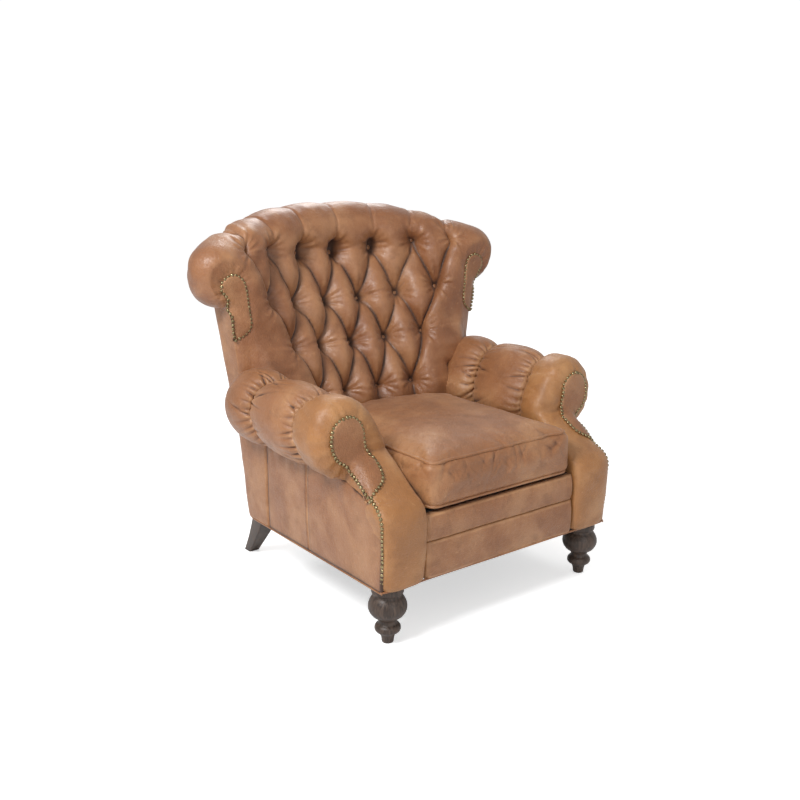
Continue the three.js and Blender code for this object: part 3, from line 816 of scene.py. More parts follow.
def arm_puff(name, first, last, seed):
    """One ruched puff between two seams; the first puff domes forward to the scroll facing."""
    around, steps = 230, 84
    turns = 2 * math.pi * np.arange(around) / around
    rings, folds = [], []
    dome = first == 0
    for t in np.linspace(0, 1, steps):
        start = seam_line(turns, SEAMS[first]) if not dome else np.full(around, SCROLL_FACE + 0.002)
        end = seam_line(turns, SEAMS[last]) if last < 3 else np.full(around, SEAMS[3])
        y = start + (end - start) * t
        ends = abs(2 * t - 1) ** 2.4 if not dome else max(0, 2 * t - 1) ** 2.4
        scale = 0.66 + 0.35 * math.sqrt(max(0, 1 - ends))
        length = end - start
        to_start, to_end = t * length, (1 - t) * length
        fold = gathers(turns, to_end, 34, seed + 1, 0.052, 0.0075) if last < 3 else np.zeros(around)
        if dome:
            rise = math.sqrt(1 - (1 - min(1, t / 0.34)) ** 2)
            scale *= 0.56 + 0.44 * rise
            fold = fold + gathers(turns, to_start, 15, seed + 2, 0.036, 0.0030)
        else:
            fold = fold + gathers(turns, to_start, 30, seed + 2, 0.040, 0.0062)
        x, z = arm_section(turns, scale)
        rings.append(np.stack([x, y, z], 1))
        folds.append(fold)
    puff = loft(name, rings)
    push = np.zeros(len(puff.data.vertices))
    push[:around * steps] = np.concatenate(folds)
    points = coords(puff) + normals(puff) * push[:, None]
    points[:, 0] = np.maximum(points[:, 0], PILASTER_INSIDE + 0.003)
    set_coords(puff, points)
    return puff


def crumple(obj, amount, size, seed):
    points = coords(obj)
    normal = normals(obj)
    shift = amount * fuzz(points, size, seed) + 0.45 * amount * fuzz(points, size * 0.42, seed + 1)
    set_coords(obj, points + normal * shift[:, None])


# Outline of the arm front from its floor end up the slope: (chair y, level, width share).
POST_PROFILE = (
    (-0.001, 0.1570, 0.97), (-0.008, 0.166, 0.985), (-0.013, 0.210, 1.00), (-0.018, 0.262, 1.00),
    (-0.020, 0.305, 1.04), (-0.018, 0.340, 1.08), (-0.010, 0.363, 1.10), (0.006, 0.380, 1.10),
    (0.026, 0.391, 1.08), (0.052, 0.408, 1.00), (0.085, 0.436, 0.98), (0.120, 0.464, 0.95),
    (0.160, 0.490, 0.90),
)


def arm_post_shape(name):
    """The padded post under the scroll, bowed forward, with its slope up to the scroll."""
    profile = np.array(POST_PROFILE)
    knots = np.linspace(0, 1, len(profile))
    fine = np.linspace(0, 1, 60)
    y, z, wide = (np.interp(fine, knots, profile[:, i]) for i in range(3))
    rings = []
    inside, outside = PILASTER_INSIDE + 0.002, BODY_HALF + 0.001
    middle = (inside + outside) / 2
    slope = np.stack([np.gradient(y), np.gradient(z)], 1)
    slope /= np.linalg.norm(slope, axis=1, keepdims=True)
    for i in range(len(fine)):
        half = (outside - inside) / 2
        outer = half * wide[i]
        inner = half * min(1.0, wide[i])
        ring = []
        for turn in np.linspace(0, math.pi, 25):
            c, s = math.cos(turn), math.sin(turn)
            c_round = math.copysign(abs(c) ** 0.62, c)
            s_round = abs(s) ** 0.62
            x = middle + (outer if c > 0 else inner) * c_round
            sink = 0.030 * (1 - s_round)
            ring.append((x, y[i] + sink * slope[i][1], z[i] - sink * slope[i][0]))
        depth = 0.075 if z[i] < 0.36 else 0.085
        for x in np.linspace(inside, outside, 9):
            back_y = max(ring[0][1], 0.11) if z[i] < 0.40 else 0.165
            ring.append((x, back_y, min(ring[0][2], 0.40 if z[i] > 0.36 else z[i])))
        rings.append(ring)
    return loft(name, rings)


# Nails down the post's outer edge: (x, chair y, level).
POST_NAIL_LINE = (
    (0.4065, 0.036, 0.390), (0.4055, 0.016, 0.378), (0.4045, 0.004, 0.362), (0.4045, -0.002, 0.340),
    (0.406, -0.004, 0.31), (0.406, -0.006, 0.26), (0.405, -0.002, 0.21), (0.404, 0.002, 0.160),
)
# Facings from end to end: each row is (inner edge, outer edge), as (x, chair y, level).
FACING_ROWS = (
    ((0.402, 0.136, 0.583), (0.403, 0.136, 0.583)),
    ((0.382, 0.14, 0.577), (0.428, 0.14, 0.575)),
    ((0.364, 0.14, 0.560), (0.446, 0.14, 0.558)),
    ((0.356, 0.14, 0.538), (0.454, 0.14, 0.532)),
    ((0.355, 0.14, 0.514), (0.452, 0.14, 0.506)),
    ((0.352, 0.14, 0.494), (0.442, 0.14, 0.482)),
    ((0.344, 0.143, 0.476), (0.424, 0.146, 0.464)),
    ((0.337, 0.146, 0.458), (0.407, 0.148, 0.451)),
    ((0.336, 0.127, 0.445), (0.4035, 0.127, 0.438)),
    ((0.338, 0.105, 0.433), (0.4035, 0.105, 0.426)),
    ((0.342, 0.087, 0.421), (0.4035, 0.087, 0.414)),
    ((0.352, 0.074, 0.413), (0.4035, 0.072, 0.408)),
    ((0.370, 0.064, 0.408), (0.4035, 0.060, 0.403)),
    ((0.390, 0.056, 0.404), (0.4035, 0.051, 0.399)),
    ((0.4015, 0.046, 0.396), (0.402, 0.046, 0.396)),
)
WING_FACING_ROWS = (
    ((0.440, 0.636, 0.884), (0.441, 0.636, 0.884)),
    ((0.420, 0.636, 0.877), (0.462, 0.636, 0.877)),
    ((0.408, 0.636, 0.862), (0.475, 0.636, 0.862)),
    ((0.403, 0.636, 0.843), (0.476, 0.636, 0.842)),
    ((0.400, 0.636, 0.823), (0.458, 0.636, 0.822)),
    ((0.398, 0.636, 0.800), (0.453, 0.636, 0.800)),
    ((0.395, 0.636, 0.775), (0.450, 0.636, 0.775)),
    ((0.392, 0.636, 0.750), (0.447, 0.636, 0.750)),
    ((0.395, 0.636, 0.728), (0.445, 0.636, 0.730)),
    ((0.412, 0.636, 0.712), (0.443, 0.636, 0.714)),
    ((0.434, 0.636, 0.698), (0.441, 0.636, 0.698)),
)


def facing_on(name, rows, tree, directions, lift):
    """A leather facing laid on the padded arm or wing, with a turned edge."""
    rows = np.array(rows)
    steps = 64
    inner = along(rows[:, 0], steps)
    outer = along(rows[:, 1], steps)
    across = 17
    points = []
    for i in range(steps):
        share = i / (steps - 1)
        direction = np.array(directions[0]) * (1 - share) + np.array(directions[1]) * share
        line = np.array([inner[i] + (outer[i] - inner[i]) * j / (across - 1) for j in range(across)])
        laid, _ = lay_on(tree, line, direction, lift)
        points.append(laid)
    base = np.array(points)
    for _ in range(10):
        base[1:-1, :, 1:] = 0.5 * base[1:-1, :, 1:] + 0.25 * (base[:-2, :, 1:] + base[2:, :, 1:])
        base[:, 1:-1, 1:] = 0.5 * base[:, 1:-1, 1:] + 0.25 * (base[:, :-2, 1:] + base[:, 2:, 1:])

    def face(u, v):
        return base[np.round(u).astype(int), np.round(v).astype(int)]

    def swell(u, v):
        wide = np.linalg.norm(outer - inner, axis=1)[np.round(u).astype(int)]
        middle = 1 - (2 * v / (across - 1) - 1) ** 2
        return 0.0028 * np.sqrt(np.clip(middle, 0, 1)) * np.clip(wide / 0.04, 0.15, 1)

    return quilt(name, face, np.arange(steps), np.arange(across), (0, -0.8, 0.6), 0.004, swell), inner, outer


# ---------------------------------------------------------------- nails and buttons by Geometry Nodes
def node_input(tree, label, kind, value=None):
    socket = tree.interface.new_socket(label, in_out="INPUT", socket_type=kind)
    if value is not None:
        socket.default_value = value
    return socket


def make_nail_tree():
    """Domed nail heads at an even pitch along a line, each facing along the line's own outward direction."""
    tree = bpy.data.node_groups.new("nail_row", "GeometryNodeTree")
    node_input(tree, "Geometry", "NodeSocketGeometry")
    node_input(tree, "Pitch", "NodeSocketFloat", 0.011)
    node_input(tree, "Head", "NodeSocketFloat", 0.0050)
    node_input(tree, "Finish", "NodeSocketMaterial")
    tree.interface.new_socket("Geometry", in_out="OUTPUT", socket_type="NodeSocketGeometry")
    given = tree.nodes.new("NodeGroupInput")
    result = tree.nodes.new("NodeGroupOutput")
    line = tree.nodes.new("GeometryNodeMeshToCurve")
    steps = tree.nodes.new("GeometryNodeResampleCurve")
    steps.mode = "LENGTH"
    place_heads(tree, given, result, line, steps)
    return tree


def place_heads(tree, given, result, line, steps):
    head = tree.nodes.new("GeometryNodeMeshUVSphere")
    head.inputs["Segments"].default_value = 10
    head.inputs["Rings"].default_value = 6
    press = tree.nodes.new("GeometryNodeTransform")
    press.inputs["Scale"].default_value = (1, 1, 0.62)
    outward = tree.nodes.new("GeometryNodeInputNamedAttribute")
    outward.data_type = "FLOAT_VECTOR"
    outward.inputs["Name"].default_value = "outward"
    align = tree.nodes.new("FunctionNodeAlignRotationToVector")
    align.axis = "Z"
    copies = tree.nodes.new("GeometryNodeInstanceOnPoints")
    real = tree.nodes.new("GeometryNodeRealizeInstances")
    finish = tree.nodes.new("GeometryNodeSetMaterial")
    link = tree.links.new
    if line is None:
        link(given.outputs["Geometry"], copies.inputs["Points"])
    else:
        link(given.outputs["Geometry"], line.inputs["Mesh"])
        link(line.outputs["Curve"], steps.inputs["Curve"])
        link(given.outputs["Pitch"], steps.inputs["Length"])
        link(steps.outputs["Curve"], copies.inputs["Points"])
    link(given.outputs["Head"], head.inputs["Radius"])
    link(head.outputs["Mesh"], press.inputs["Geometry"])
    link(press.outputs["Geometry"], copies.inputs["Instance"])
    link(outward.outputs["Attribute"], align.inputs["Vector"])
    link(align.outputs["Rotation"], copies.inputs["Rotation"])
    link(copies.outputs["Instances"], real.inputs["Geometry"])
    link(real.outputs["Geometry"], finish.inputs["Geometry"])
    link(given.outputs["Finish"], finish.inputs["Material"])
    link(finish.outputs["Geometry"], result.inputs["Geometry"])


def make_button_tree():
    """A covered button on each point."""
    tree = bpy.data.node_groups.new("covered_buttons", "GeometryNodeTree")
    node_input(tree, "Geometry", "NodeSocketGeometry")
    node_input(tree, "Head", "NodeSocketFloat", 0.0115)
    node_input(tree, "Finish", "NodeSocketMaterial")
    tree.interface.new_socket("Geometry", in_out="OUTPUT", socket_type="NodeSocketGeometry")
    place_heads(tree, tree.nodes.new("NodeGroupInput"), tree.nodes.new("NodeGroupOutput"), None, None)
    for node in tree.nodes:
        if node.bl_idname == "GeometryNodeMeshUVSphere":
            node.inputs["Segments"].default_value = 20
            node.inputs["Rings"].default_value = 12
        if node.bl_idname == "GeometryNodeTransform":
            node.inputs["Scale"].default_value = (1, 1, 0.5)
    return tree


def grow(name, tree, points, outward, values, joined=True):
    """Runs a Geometry Nodes tree on points or on a line through them and keeps the mesh."""
    mesh = bpy.data.meshes.new(name)
    pairs = [(i, i + 1) for i in range(len(points) - 1)] if joined else []
    mesh.from_pydata([tuple(p) for p in points], pairs, [])
    layer = mesh.attributes.new("outward", "FLOAT_VECTOR", "POINT")
    layer.data.foreach_set("vector", np.asarray(outward, float).ravel())
    obj = bpy.data.objects.new(name, mesh)
    bpy.context.scene.collection.objects.link(obj)
    mod = obj.modifiers.new("grow", "NODES")
    mod.node_group = tree
    for item in tree.interface.items_tree:
        if item.in_out == "INPUT" and item.name in values:
            mod[item.identifier] = values[item.name]
    return bake(obj)


# ---------------------------------------------------------------- seat cushion
CUSHION_HALF = PILASTER_INSIDE - 0.004
CUSHION_TOP = SEAT_LEVEL + 0.130
CUSHION_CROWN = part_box("cushion_casing")[1].z
CUSHION_MIDDLE = 0.30


def cushion_plan(inset, count=120):
    """The cushion seen from above, square at the front, hollowed at the back to fit the buttoning."""
    half, corner = CUSHION_HALF - inset, 0.025
    front = -0.008 + inset
    points = []
    for start in (180, 270):
        side = -1 if start == 180 else 1
        for degrees in np.linspace(start, start + 90, 9):
            turn = math.radians(degrees)
            x = side * (half - corner) + corner * math.cos(turn)
            points.append((x, front + corner + corner * math.sin(turn), 0))
    for x in np.linspace(half, -half, 25):
        ease = 0.030 * smoothstep(abs(x), half - 0.055, half) ** 2
        points.append((x, float(inside_back(x, 0.50)) - 0.004 - inset - ease, 0))
    points.append(points[0])
    knots = np.concatenate([[0], np.cumsum(np.linalg.norm(np.diff(points, axis=0), axis=1))])
    fine = np.linspace(0, knots[-1], count, endpoint=False)
    return np.stack([np.interp(fine, knots, np.array(points)[:, i]) for i in range(2)], 1)


def stuff(obj, pressure, cap, frames=20):
    """Fills a cushion with Blender's cloth, so its sides swell and its seams pull in."""
    before = coords(obj)
    mod = obj.modifiers.new("stuffing", "CLOTH")
    cloth_settings = mod.settings
    cloth_settings.quality = 5
    cloth_settings.mass = 0.3
    cloth_settings.use_pressure = True
    cloth_settings.uniform_pressure_force = pressure
    cloth_settings.tension_stiffness = 18
    cloth_settings.compression_stiffness = 18
    cloth_settings.shear_stiffness = 8
    cloth_settings.bending_stiffness = 0.6
    cloth_settings.effector_weights.gravity = 0
    mod.collision_settings.use_collision = False
    mod.point_cache.frame_start = 1
    mod.point_cache.frame_end = frames
    for frame_number in range(1, frames + 1):
        bpy.context.scene.frame_set(frame_number)
    graph = bpy.context.evaluated_depsgraph_get()
    mesh = obj.evaluated_get(graph).to_mesh()
    after = read_out(mesh.vertices, "co", 3)
    obj.evaluated_get(graph).to_mesh_clear()
    obj.modifiers.clear()
    bpy.context.scene.frame_set(1)
    shift = after - before
    length = np.linalg.norm(shift, axis=1, keepdims=True)
    shift *= np.minimum(1, cap / np.maximum(length, 1e-9))
    set_coords(obj, before + shift)


def make_cushion():
    low, high = SEAT_LEVEL + 0.004, CUSHION_TOP - 0.006
    plan = cushion_plan(0.0045)
    middle = np.array([0, CUSHION_MIDDLE])

    def ring(share, z):
        flat = middle + (plan - middle) * share
        return np.column_stack([flat, np.full(len(flat), z)])

    rings = [ring(share, low) for share in (0.3, 0.6, 0.9)] + [ring(0.97, low), ring(1, low + 0.010)]
    rings += [ring(1, z) for z in np.linspace(low + 0.02, high - 0.010, 6)] + [ring(0.985, high)]
    rings += [ring(share, high + 0.038 * (1 - share**3)) for share in (0.9, 0.75, 0.6, 0.45, 0.3, 0.15)]
    cushion = fuse("seat_cushion_cover", [loft("filling", rings)], 0.0055, 3)
    stuff(cushion, 4.0, 0.007)
    mod = cushion.modifiers.new("finer", "SUBSURF")
    mod.levels = mod.render_levels = 1
    bake(cushion)
    points = coords(cushion)
    normal = normals(cushion)
    z = points[:, 2]
    outline = cushion_plan(0.0, 400)
    angle = np.arctan2(points[:, 1] - CUSHION_MIDDLE, points[:, 0])
    top_seam, low_seam = CUSHION_TOP - 0.004, SEAT_LEVEL + 0.014
    boxing = smoothstep(z, low_seam, low_seam + 0.02) * (1 - smoothstep(z, top_seam - 0.02, top_seam))
    side = np.clip(1 - np.abs(normal[:, 2]), 0, 1)
    seam = np.exp(-(((z - top_seam) / 0.006) ** 2)) + np.exp(-(((z - low_seam) / 0.006) ** 2))
    pull = gathers(angle, (top_seam - z) * (z < top_seam), 60, 61, 0.042, 0.0046)
    pull += gathers(angle, (z - low_seam) * (z > low_seam), 50, 62, 0.022, 0.0022)
    pull *= side
    top = smoothstep(normal[:, 2], 0.2, 0.7)
    rim = np.hypot(points[:, 0] / CUSHION_HALF, (points[:, 1] - CUSHION_MIDDLE) / 0.31)
    creases = -np.abs(fuzz(points * np.array([1, 0.45, 1]), 0.06, 71)) ** 0.6 * 0.0022
    creases = creases * smoothstep(rim, 0.45, 0.95)
    shift = pull - 0.0035 * seam * side + top * (creases + 0.0016 * fuzz(points, 0.11, 72))
    shift += 0.0007 * fuzz(points, 0.018, 73) + 0.0020 * boxing * side
    points = points + normal * shift[:, None]
    points[:, 2] = np.clip(points[:, 2], SEAT_LEVEL + 0.0008, CUSHION_CROWN + 0.007)
    points[:, 0] = np.clip(points[:, 0], -CUSHION_HALF - 0.001, CUSHION_HALF + 0.001)
    limit = inside_back(points[:, 0], 0.50) - 0.003
    points[:, 1] = np.minimum(points[:, 1], limit)
    set_coords(cushion, relax(points, edges(cushion), 1))
    mark_relief(cushion, 12, 0.0024)
    tree = surface([cushion])
    welts = []
    for name, level in (("seat_cushion_top_welt", top_seam), ("seat_cushion_bottom_welt", low_seam)):
        line = []
        for x, y in outline:
            away = Vector((x, y - CUSHION_MIDDLE, 0)).normalized()
            start = Vector((x, y, level)) + away * 0.05
            hit, hit_normal, _, _ = tree.ray_cast(start, -away, 0.12)
            if hit is None:
                hit, hit_normal = Vector((x, y, level)), away
            line.append(hit + hit_normal * 0.0012)
        line = np.array(line)
        for _ in range(3):
            line = 0.5 * line + 0.25 * (np.roll(line, 1, 0) + np.roll(line, -1, 0))
        welts.append(tube(name, line, 0.0042, 8, closed=True))
    return cushion, welts


# ---------------------------------------------------------------- outside covers and legs
COVER_THICK = 0.0036
LEG_TOP = 0.1596


def outside_arm(name, side):
    """Leather over the side of the frame, with its upright joining seam, cut to the slope of the arm front."""
    u = np.linspace(0, 1, 150)
    v = np.linspace(0, 1, 66)
    front_y = (0.006, 0.002, 0.000, 0.004, 0.014, 0.030, 0.064, 0.114, 0.150, 0.160)
    front_z = (UNDERSIDE, 0.210, 0.290, 0.345, 0.366, 0.386, 0.403, 0.428, 0.446, 0.452)

    def place(a, b):
        top = np.interp(a * 0.558, front_y[3:], front_z[3:], right=0.432)
        top = np.where(a * 0.558 > 0.16, np.interp(a * 0.558, (0.16, 0.20), (0.446, 0.430)), top)
        z = UNDERSIDE + (top - UNDERSIDE) * b
        start = np.interp(z, front_z, front_y)
        y = start + (0.5575 - start) * a
        return np.stack([np.full_like(y, side * BODY_HALF), y, z], 2)

    def bulge(a, b):
        face = place(a, b)
        y, z = face[..., 1], face[..., 2]
        pad = 0.007 * np.clip(16 * a * (1 - a) * b * (1 - b), 0, 1) ** 0.45
        groove = -0.0035 * np.exp(-(((y - 0.335) / 0.0028) ** 2))
        ends = -0.0055 * (np.exp(-(((y - 0.5575) / 0.004) ** 2)))
        flat = face.reshape(-1, 3)
        soft = (0.0014 * fuzz(flat, 0.09, 31) + 0.0006 * fuzz(flat, 0.03, 32)).reshape(y.shape)
        tucks = 0.0018 * fuzz(flat * np.array([1, 1, 0.15]), 0.016, 33).reshape(y.shape)
        return pad + groove + ends + soft + tucks * smoothstep(z, 0.33, 0.43) + 0.001

    return quilt(name, place, u, v, (side, 0, 0), COVER_THICK, bulge)


def outside_wing(name, side):
    """The wrap from the side seam round the rear corner, flaring above the arm to the wing."""
    def place(a, b):
        z = UNDERSIDE + (0.862 - UNDERSIDE) * b
        wide = half_width(z)
        start = np.where(z < 0.430, 0.5585, 0.650)
        corner = 0.045
        rear = outside_back(wide - corner, z)
        straight = rear - corner - start
        bend = corner * math.pi / 2
        flat = (wide - corner) - 0.302
        total = straight + bend + flat
        run = a * total
        turn = np.clip((run - straight) / corner, 0, math.pi / 2)
        x = wide - corner * (1 - np.cos(turn)) - np.clip(run - straight - bend, 0, None)
        on_back = run > straight + bend
        y = np.where(on_back, outside_back(x, z), start + np.minimum(run, straight) + corner * np.sin(turn))
        return np.stack([side * x, y, z], 2)

    def bulge(a, b):
        face = place(a, b).reshape(-1, 3)
        soft = (0.0016 * fuzz(face, 0.10, 41) + 0.0006 * fuzz(face, 0.03, 42)).reshape(a.shape)
        drag = 0.0014 * fuzz(face * np.array([1, 1, 0.2]), 0.022, 43).reshape(a.shape)
        pad = 0.006 * np.clip(16 * a * (1 - a) * b * (1 - b), 0, 1) ** 0.5
        seam = -0.0045 * (np.exp(-((a / 0.012) ** 2)) + np.exp(-(((1 - a) / 0.010) ** 2)))
        return pad + soft + drag * smoothstep(b, 0.55, 0.9) + seam + 0.001

    return quilt(name, place, np.linspace(0, 1, 110), np.linspace(0, 1, 170), (side, 1, 0), COVER_THICK, bulge)


def outside_back_cover(name):
    def place(a, b):
        x = -0.3005 + 0.601 * a
        top = roll_axis(x)[..., 2] - 0.040
        z = UNDERSIDE + (top - UNDERSIDE) * b
        return np.stack([x, outside_back(x, z), z], 2)

    def bulge(a, b):
        face = place(a, b).reshape(-1, 3)
        soft = (0.0018 * fuzz(face, 0.12, 51) + 0.0007 * fuzz(face, 0.03, 52)).reshape(a.shape)
        drag = 0.0016 * fuzz(face * np.array([1, 1, 0.18]), 0.022, 53).reshape(a.shape)
        pad = 0.008 * np.clip(16 * a * (1 - a) * b * (1 - b), 0, 1) ** 0.45
        seam = -0.0045 * (np.exp(-((a / 0.009) ** 2)) + np.exp(-(((1 - a) / 0.009) ** 2)))
        return pad + soft + drag * smoothstep(b, 0.6, 0.95) + seam + 0.001

    return quilt(name, place, np.linspace(0, 1, 170), np.linspace(0, 1, 210), (0, 1, 0), COVER_THICK, bulge)


def front_cover(name, low, high, face_y, thick, fullness, seed, puckers, pinch):
    """A padded band across the front between the arm fronts."""
    half = PILASTER_INSIDE - 0.001

    def place(a, b):
        x = -half + 2 * half * a
        return np.stack([x, np.full_like(x, face_y), low + (high - low) * b], 2)

    def bulge(a, b):
        face = place(a, b).reshape(-1, 3)
        z = face[:, 2].reshape(a.shape)
        pad = fullness * np.clip(4 * b * (1 - b), 0, 1) ** 0.5
        ends = -0.006 * (np.exp(-((a / 0.010) ** 2)) + np.exp(-(((1 - a) / 0.010) ** 2)))
        soft = (0.0016 * fuzz(face, 0.08, seed) + 0.0007 * fuzz(face, 0.025, seed + 1)).reshape(a.shape)
        pull = gathers(a * 2 * math.pi, high - z, puckers, seed + 2, 0.020, pinch)
        pull += gathers(a * 2 * math.pi, z - low, puckers, seed + 3, 0.012, 0.5 * pinch)
        return pad + ends + soft + pull

    return quilt(name, place, np.linspace(0, 1, 240), np.linspace(0, 1, 40), (0, -1, 0), thick, bulge)


LEG_PROFILE = (
    (0.0, 0.0), (0.0135, 0.0), (0.0150, 0.0015), (0.0155, 0.006), (0.0165, 0.014), (0.0195, 0.023), (0.0235, 0.028),
    (0.0300, 0.031), (0.0335, 0.036), (0.0340, 0.041), (0.0330, 0.046), (0.0300, 0.050), (0.0255, 0.053),
    (0.0235, 0.057), (0.0235, 0.061), (0.0255, 0.066), (0.0310, 0.070), (0.0400, 0.076), (0.0465, 0.085),
    (0.0498, 0.094), (0.0505, 0.101), (0.0495, 0.109), (0.0460, 0.118), (0.0410, 0.126), (0.0375, 0.130),
    (0.0365, 0.133), (0.0370, 0.136), (0.0410, 0.1385), (0.0420, 0.1415), (0.0420, LEG_TOP), (0.0, LEG_TOP),
)


def turned_leg(name, side):
    sides = 56
    turns = 2 * math.pi * np.arange(sides) / sides
    profile = np.array(LEG_PROFILE)
    knots = np.linspace(0, 1, len(profile))
    fine = np.linspace(0, 1, 4 * len(profile))
    radius = np.interp(fine, knots, profile[:, 0])
    level = np.interp(fine, knots, profile[:, 1])
    radius[2:-2] = (radius[:-4] + 4 * radius[1:-3] + 6 * radius[2:-2] + 4 * radius[3:-1] + radius[4:]) / 16
    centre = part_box("front_leg_right")
    x0 = side * (centre[0].x + centre[1].x) / 2
    y0 = (centre[0].y + centre[1].y) / 2 - FRONT
    rings = []
    for r, z in zip(radius[1:-1], level[1:-1]):
        rings.append(np.stack([x0 + r * np.cos(turns), y0 + r * np.sin(turns), np.full(sides, z)], 1))
    return loft(name, rings)


def raked_leg(name, side):
    """A square rear leg, swept back and tapered to its foot, with eased corners."""
    rings = []
    for t in np.linspace(0, 1, 24):
        half = 0.017 + 0.014 * t**1.1
        x = side * (0.337 + 0.008 * t)
        y = 0.784 - 0.120 * t - 0.004 * math.sin(math.pi * t)
        ring = []
        for corner in range(4):
            for step in np.linspace(0, math.pi / 2, 5):
                turn = corner * math.pi / 2 + step
                cx = math.copysign(half - 0.004, math.cos(corner * math.pi / 2 + math.pi / 4))
                cy = math.copysign(half - 0.004, math.sin(corner * math.pi / 2 + math.pi / 4))
                ring.append((x + cx + 0.004 * math.cos(turn), y + cy + 0.004 * math.sin(turn), LEG_TOP * t))
        rings.append(ring)
    return loft(name, rings)


# ---------------------------------------------------------------- making the chair
nail_tree = make_nail_tree()
button_tree = make_button_tree()
NAILS = {"Pitch": 0.0112, "Head": 0.0050, "Finish": BRASS}
FACING_LIFT = 0.0035
NAIL_LIFT = 0.0012
RIGHT_AND_LEFT = (("right", 1), ("left", -1))


def to_left(obj):
    """Turns a piece made for the right side into its mirror image."""
    obj.data.transform(Matrix.Diagonal((-1, 1, 1, 1)))
    obj.data.flip_normals()



# The arm fronts: the front puff and the padded post under it share one skin.
for place, side in RIGHT_AND_LEFT:
    seed = 100 if side > 0 else 200
    front = fuse("arm_front_" + place, [
        arm_puff("scroll", 0, 1, seed),
        arm_post_shape("post"),
    ], 0.0034, 5)
    crumple(front, 0.0012, 0.05, seed + 7)
    set_coords(front, relax(coords(front), edges(front), 1))
    skin = surface([front])
    facing, inner_line, outer_line = facing_on(
        "arm_facing_cover_" + place, FACING_ROWS, skin, ((0, 1, 0), (0, 0.52, -0.85)), FACING_LIFT)
    inner_edge = inner_line[::-1]
    down_line = along(POST_NAIL_LINE, 40)
    together = surface([front, facing])
    pieces = []
    for line, direction in ((inner_edge, (0, 0.55, -0.84)), (outer_line, (-0.25, 0.55, -0.80))):
        share = smoothstep(line[:, 2], 0.44, 0.48)[:, None]
        spots, outs = [], []
        for p, s in zip(line, share):
            aim = np.array((0, 1.0, 0)) * s + np.array(direction) * (1 - s)
            spot, out = lay_on(together, [p], aim, NAIL_LIFT)
            spots.append(spot[0])
            outs.append(out[0])
        pieces.append((even(spots), even(outs)))
    spots, outs = (even(part) for part in lay_on(together, down_line, (-0.55, 0.83, 0), NAIL_LIFT))
    loop = np.concatenate([pieces[0][0], pieces[1][0]])
    loop_out = np.concatenate([pieces[0][1], pieces[1][1]])
    nails = grow("arm_scroll_nails_" + place, nail_tree, loop, loop_out, NAILS)
    lower = grow("arm_post_nails_" + place, nail_tree, spots, outs, NAILS)
    mark_relief(front, 14, 0.0026)
    mark_relief(facing, 6, 0.0020)
    if side < 0:
        for obj in (front, facing, nails, lower):
            to_left(obj)
    settle(front, "chair", GOLDEN,
           ["arm_puff_front_" + place, "pilaster_pad_" + place])
    settle(facing, "chair", TAN, ["arm_facing_" + place])
    settle(nails, "chair", BRASS, ["arm_nail_trim_" + place])
    settle(lower, "chair", BRASS, ["pilaster_nail_trim_" + place])

    for part, first, last in (("middle", 1, 2), ("rear", 2, 3)):
        puff = arm_puff("arm_puff_cover_" + part + "_" + place, first, last, seed + 10 * first)
        crumple(puff, 0.0011, 0.045, seed + 31 * first)
        mark_relief(puff, 14, 0.0026)
        if side < 0:
            to_left(puff)
        settle(puff, "chair", PALE, ["arm_puff_" + part + "_" + place])

    inner = soft_copy("inner_arm_cover_" + place, "inner_arm_panel_" + place, 0.005, 6)
    points = coords(inner)
    points[:, 2] = LIP_LEVEL + (points[:, 2] - LIP_LEVEL) * 0.70
    set_coords(inner, points)
    crumple(inner, 0.0012, 0.05, seed + 5)
    mark_relief(inner)
    settle(inner, "chair", TAN, ["inner_arm_panel_" + place])
    panel = outside_arm("outside_arm_cover_" + place, side)
    mark_relief(panel, 12, 0.0018)
    settle(panel, "chair", TAN, ["outside_arm_panel_" + place])
    wing = outside_wing("outside_wing_cover_" + place, side)
    mark_relief(wing, 12, 0.0020)
    settle(wing, "chair", TAN, ["outside_wing_" + place])
    settle(turned_leg("front_leg_turned_" + place, side), "chair", WALNUT, ["front_leg_" + place])
    settle(raked_leg("rear_leg_raked_" + place, side), "chair", WALNUT, ["rear_leg_" + place])

back, button_points = make_back()
back_surface = surface([back])
button_out = np.tile(np.array((0, -0.93, 0.36)), (len(button_points), 1))
buttons = grow("covered_buttons", button_tree, button_points, button_out,
               {"Head": 0.0085, "Finish": BACK_TAN}, False)
mark_relief(buttons, 3, 0.002)
for place, side in RIGHT_AND_LEFT:
    rows = np.array(WING_FACING_ROWS) * np.array([side, 1, 1])
    facing, inner_line, outer_line = facing_on(
        "wing_facing_cover_" + place, rows, back_surface, ((0, 1, 0), (0, 1, 0)), FACING_LIFT)
    together = surface([back, facing])
    loop = np.concatenate([inner_line[::-1], outer_line])
    spots, outs = (even(part) for part in lay_on(together, loop, (0, 1, 0), NAIL_LIFT))
    nails = grow("wing_scroll_nails_" + place, nail_tree, spots, outs, {**NAILS, "Head": 0.0049})
    mark_relief(facing, 6, 0.0020)
    settle(facing, "chair", TAN, ["wing_facing_" + place])
    settle(nails, "chair", BRASS, ["wing_nail_trim_" + place])
settle(back, "chair", BACK_TAN,
       ["tufted_back_pad", "top_roll", "wing_pad_left", "wing_pad_right"])
settle(buttons, "chair", BACK_TAN)

back_cover = outside_back_cover("outside_back_cover")
rail_cover = front_cover("front_rail_cover", UNDERSIDE + 0.001, LIP_LEVEL - 0.0005,
                         0.004, 0.020, 0.007, 301, 14, 0.0010)
lip = front_cover("spring_edge_lip", LIP_LEVEL + 0.0005, SEAT_LEVEL - 0.001,
                  0.006, 0.018, 0.010, 311, 18, 0.0013)
covers = ((back_cover, "outside_back", 0.3), (rail_cover, "front_panel", 0.4), (lip, "lip_band", 0.6))
for cover, node, fill in covers:
    mark_relief(cover, 12, 0.0020)
    settle(cover, "chair", TAN, [node])

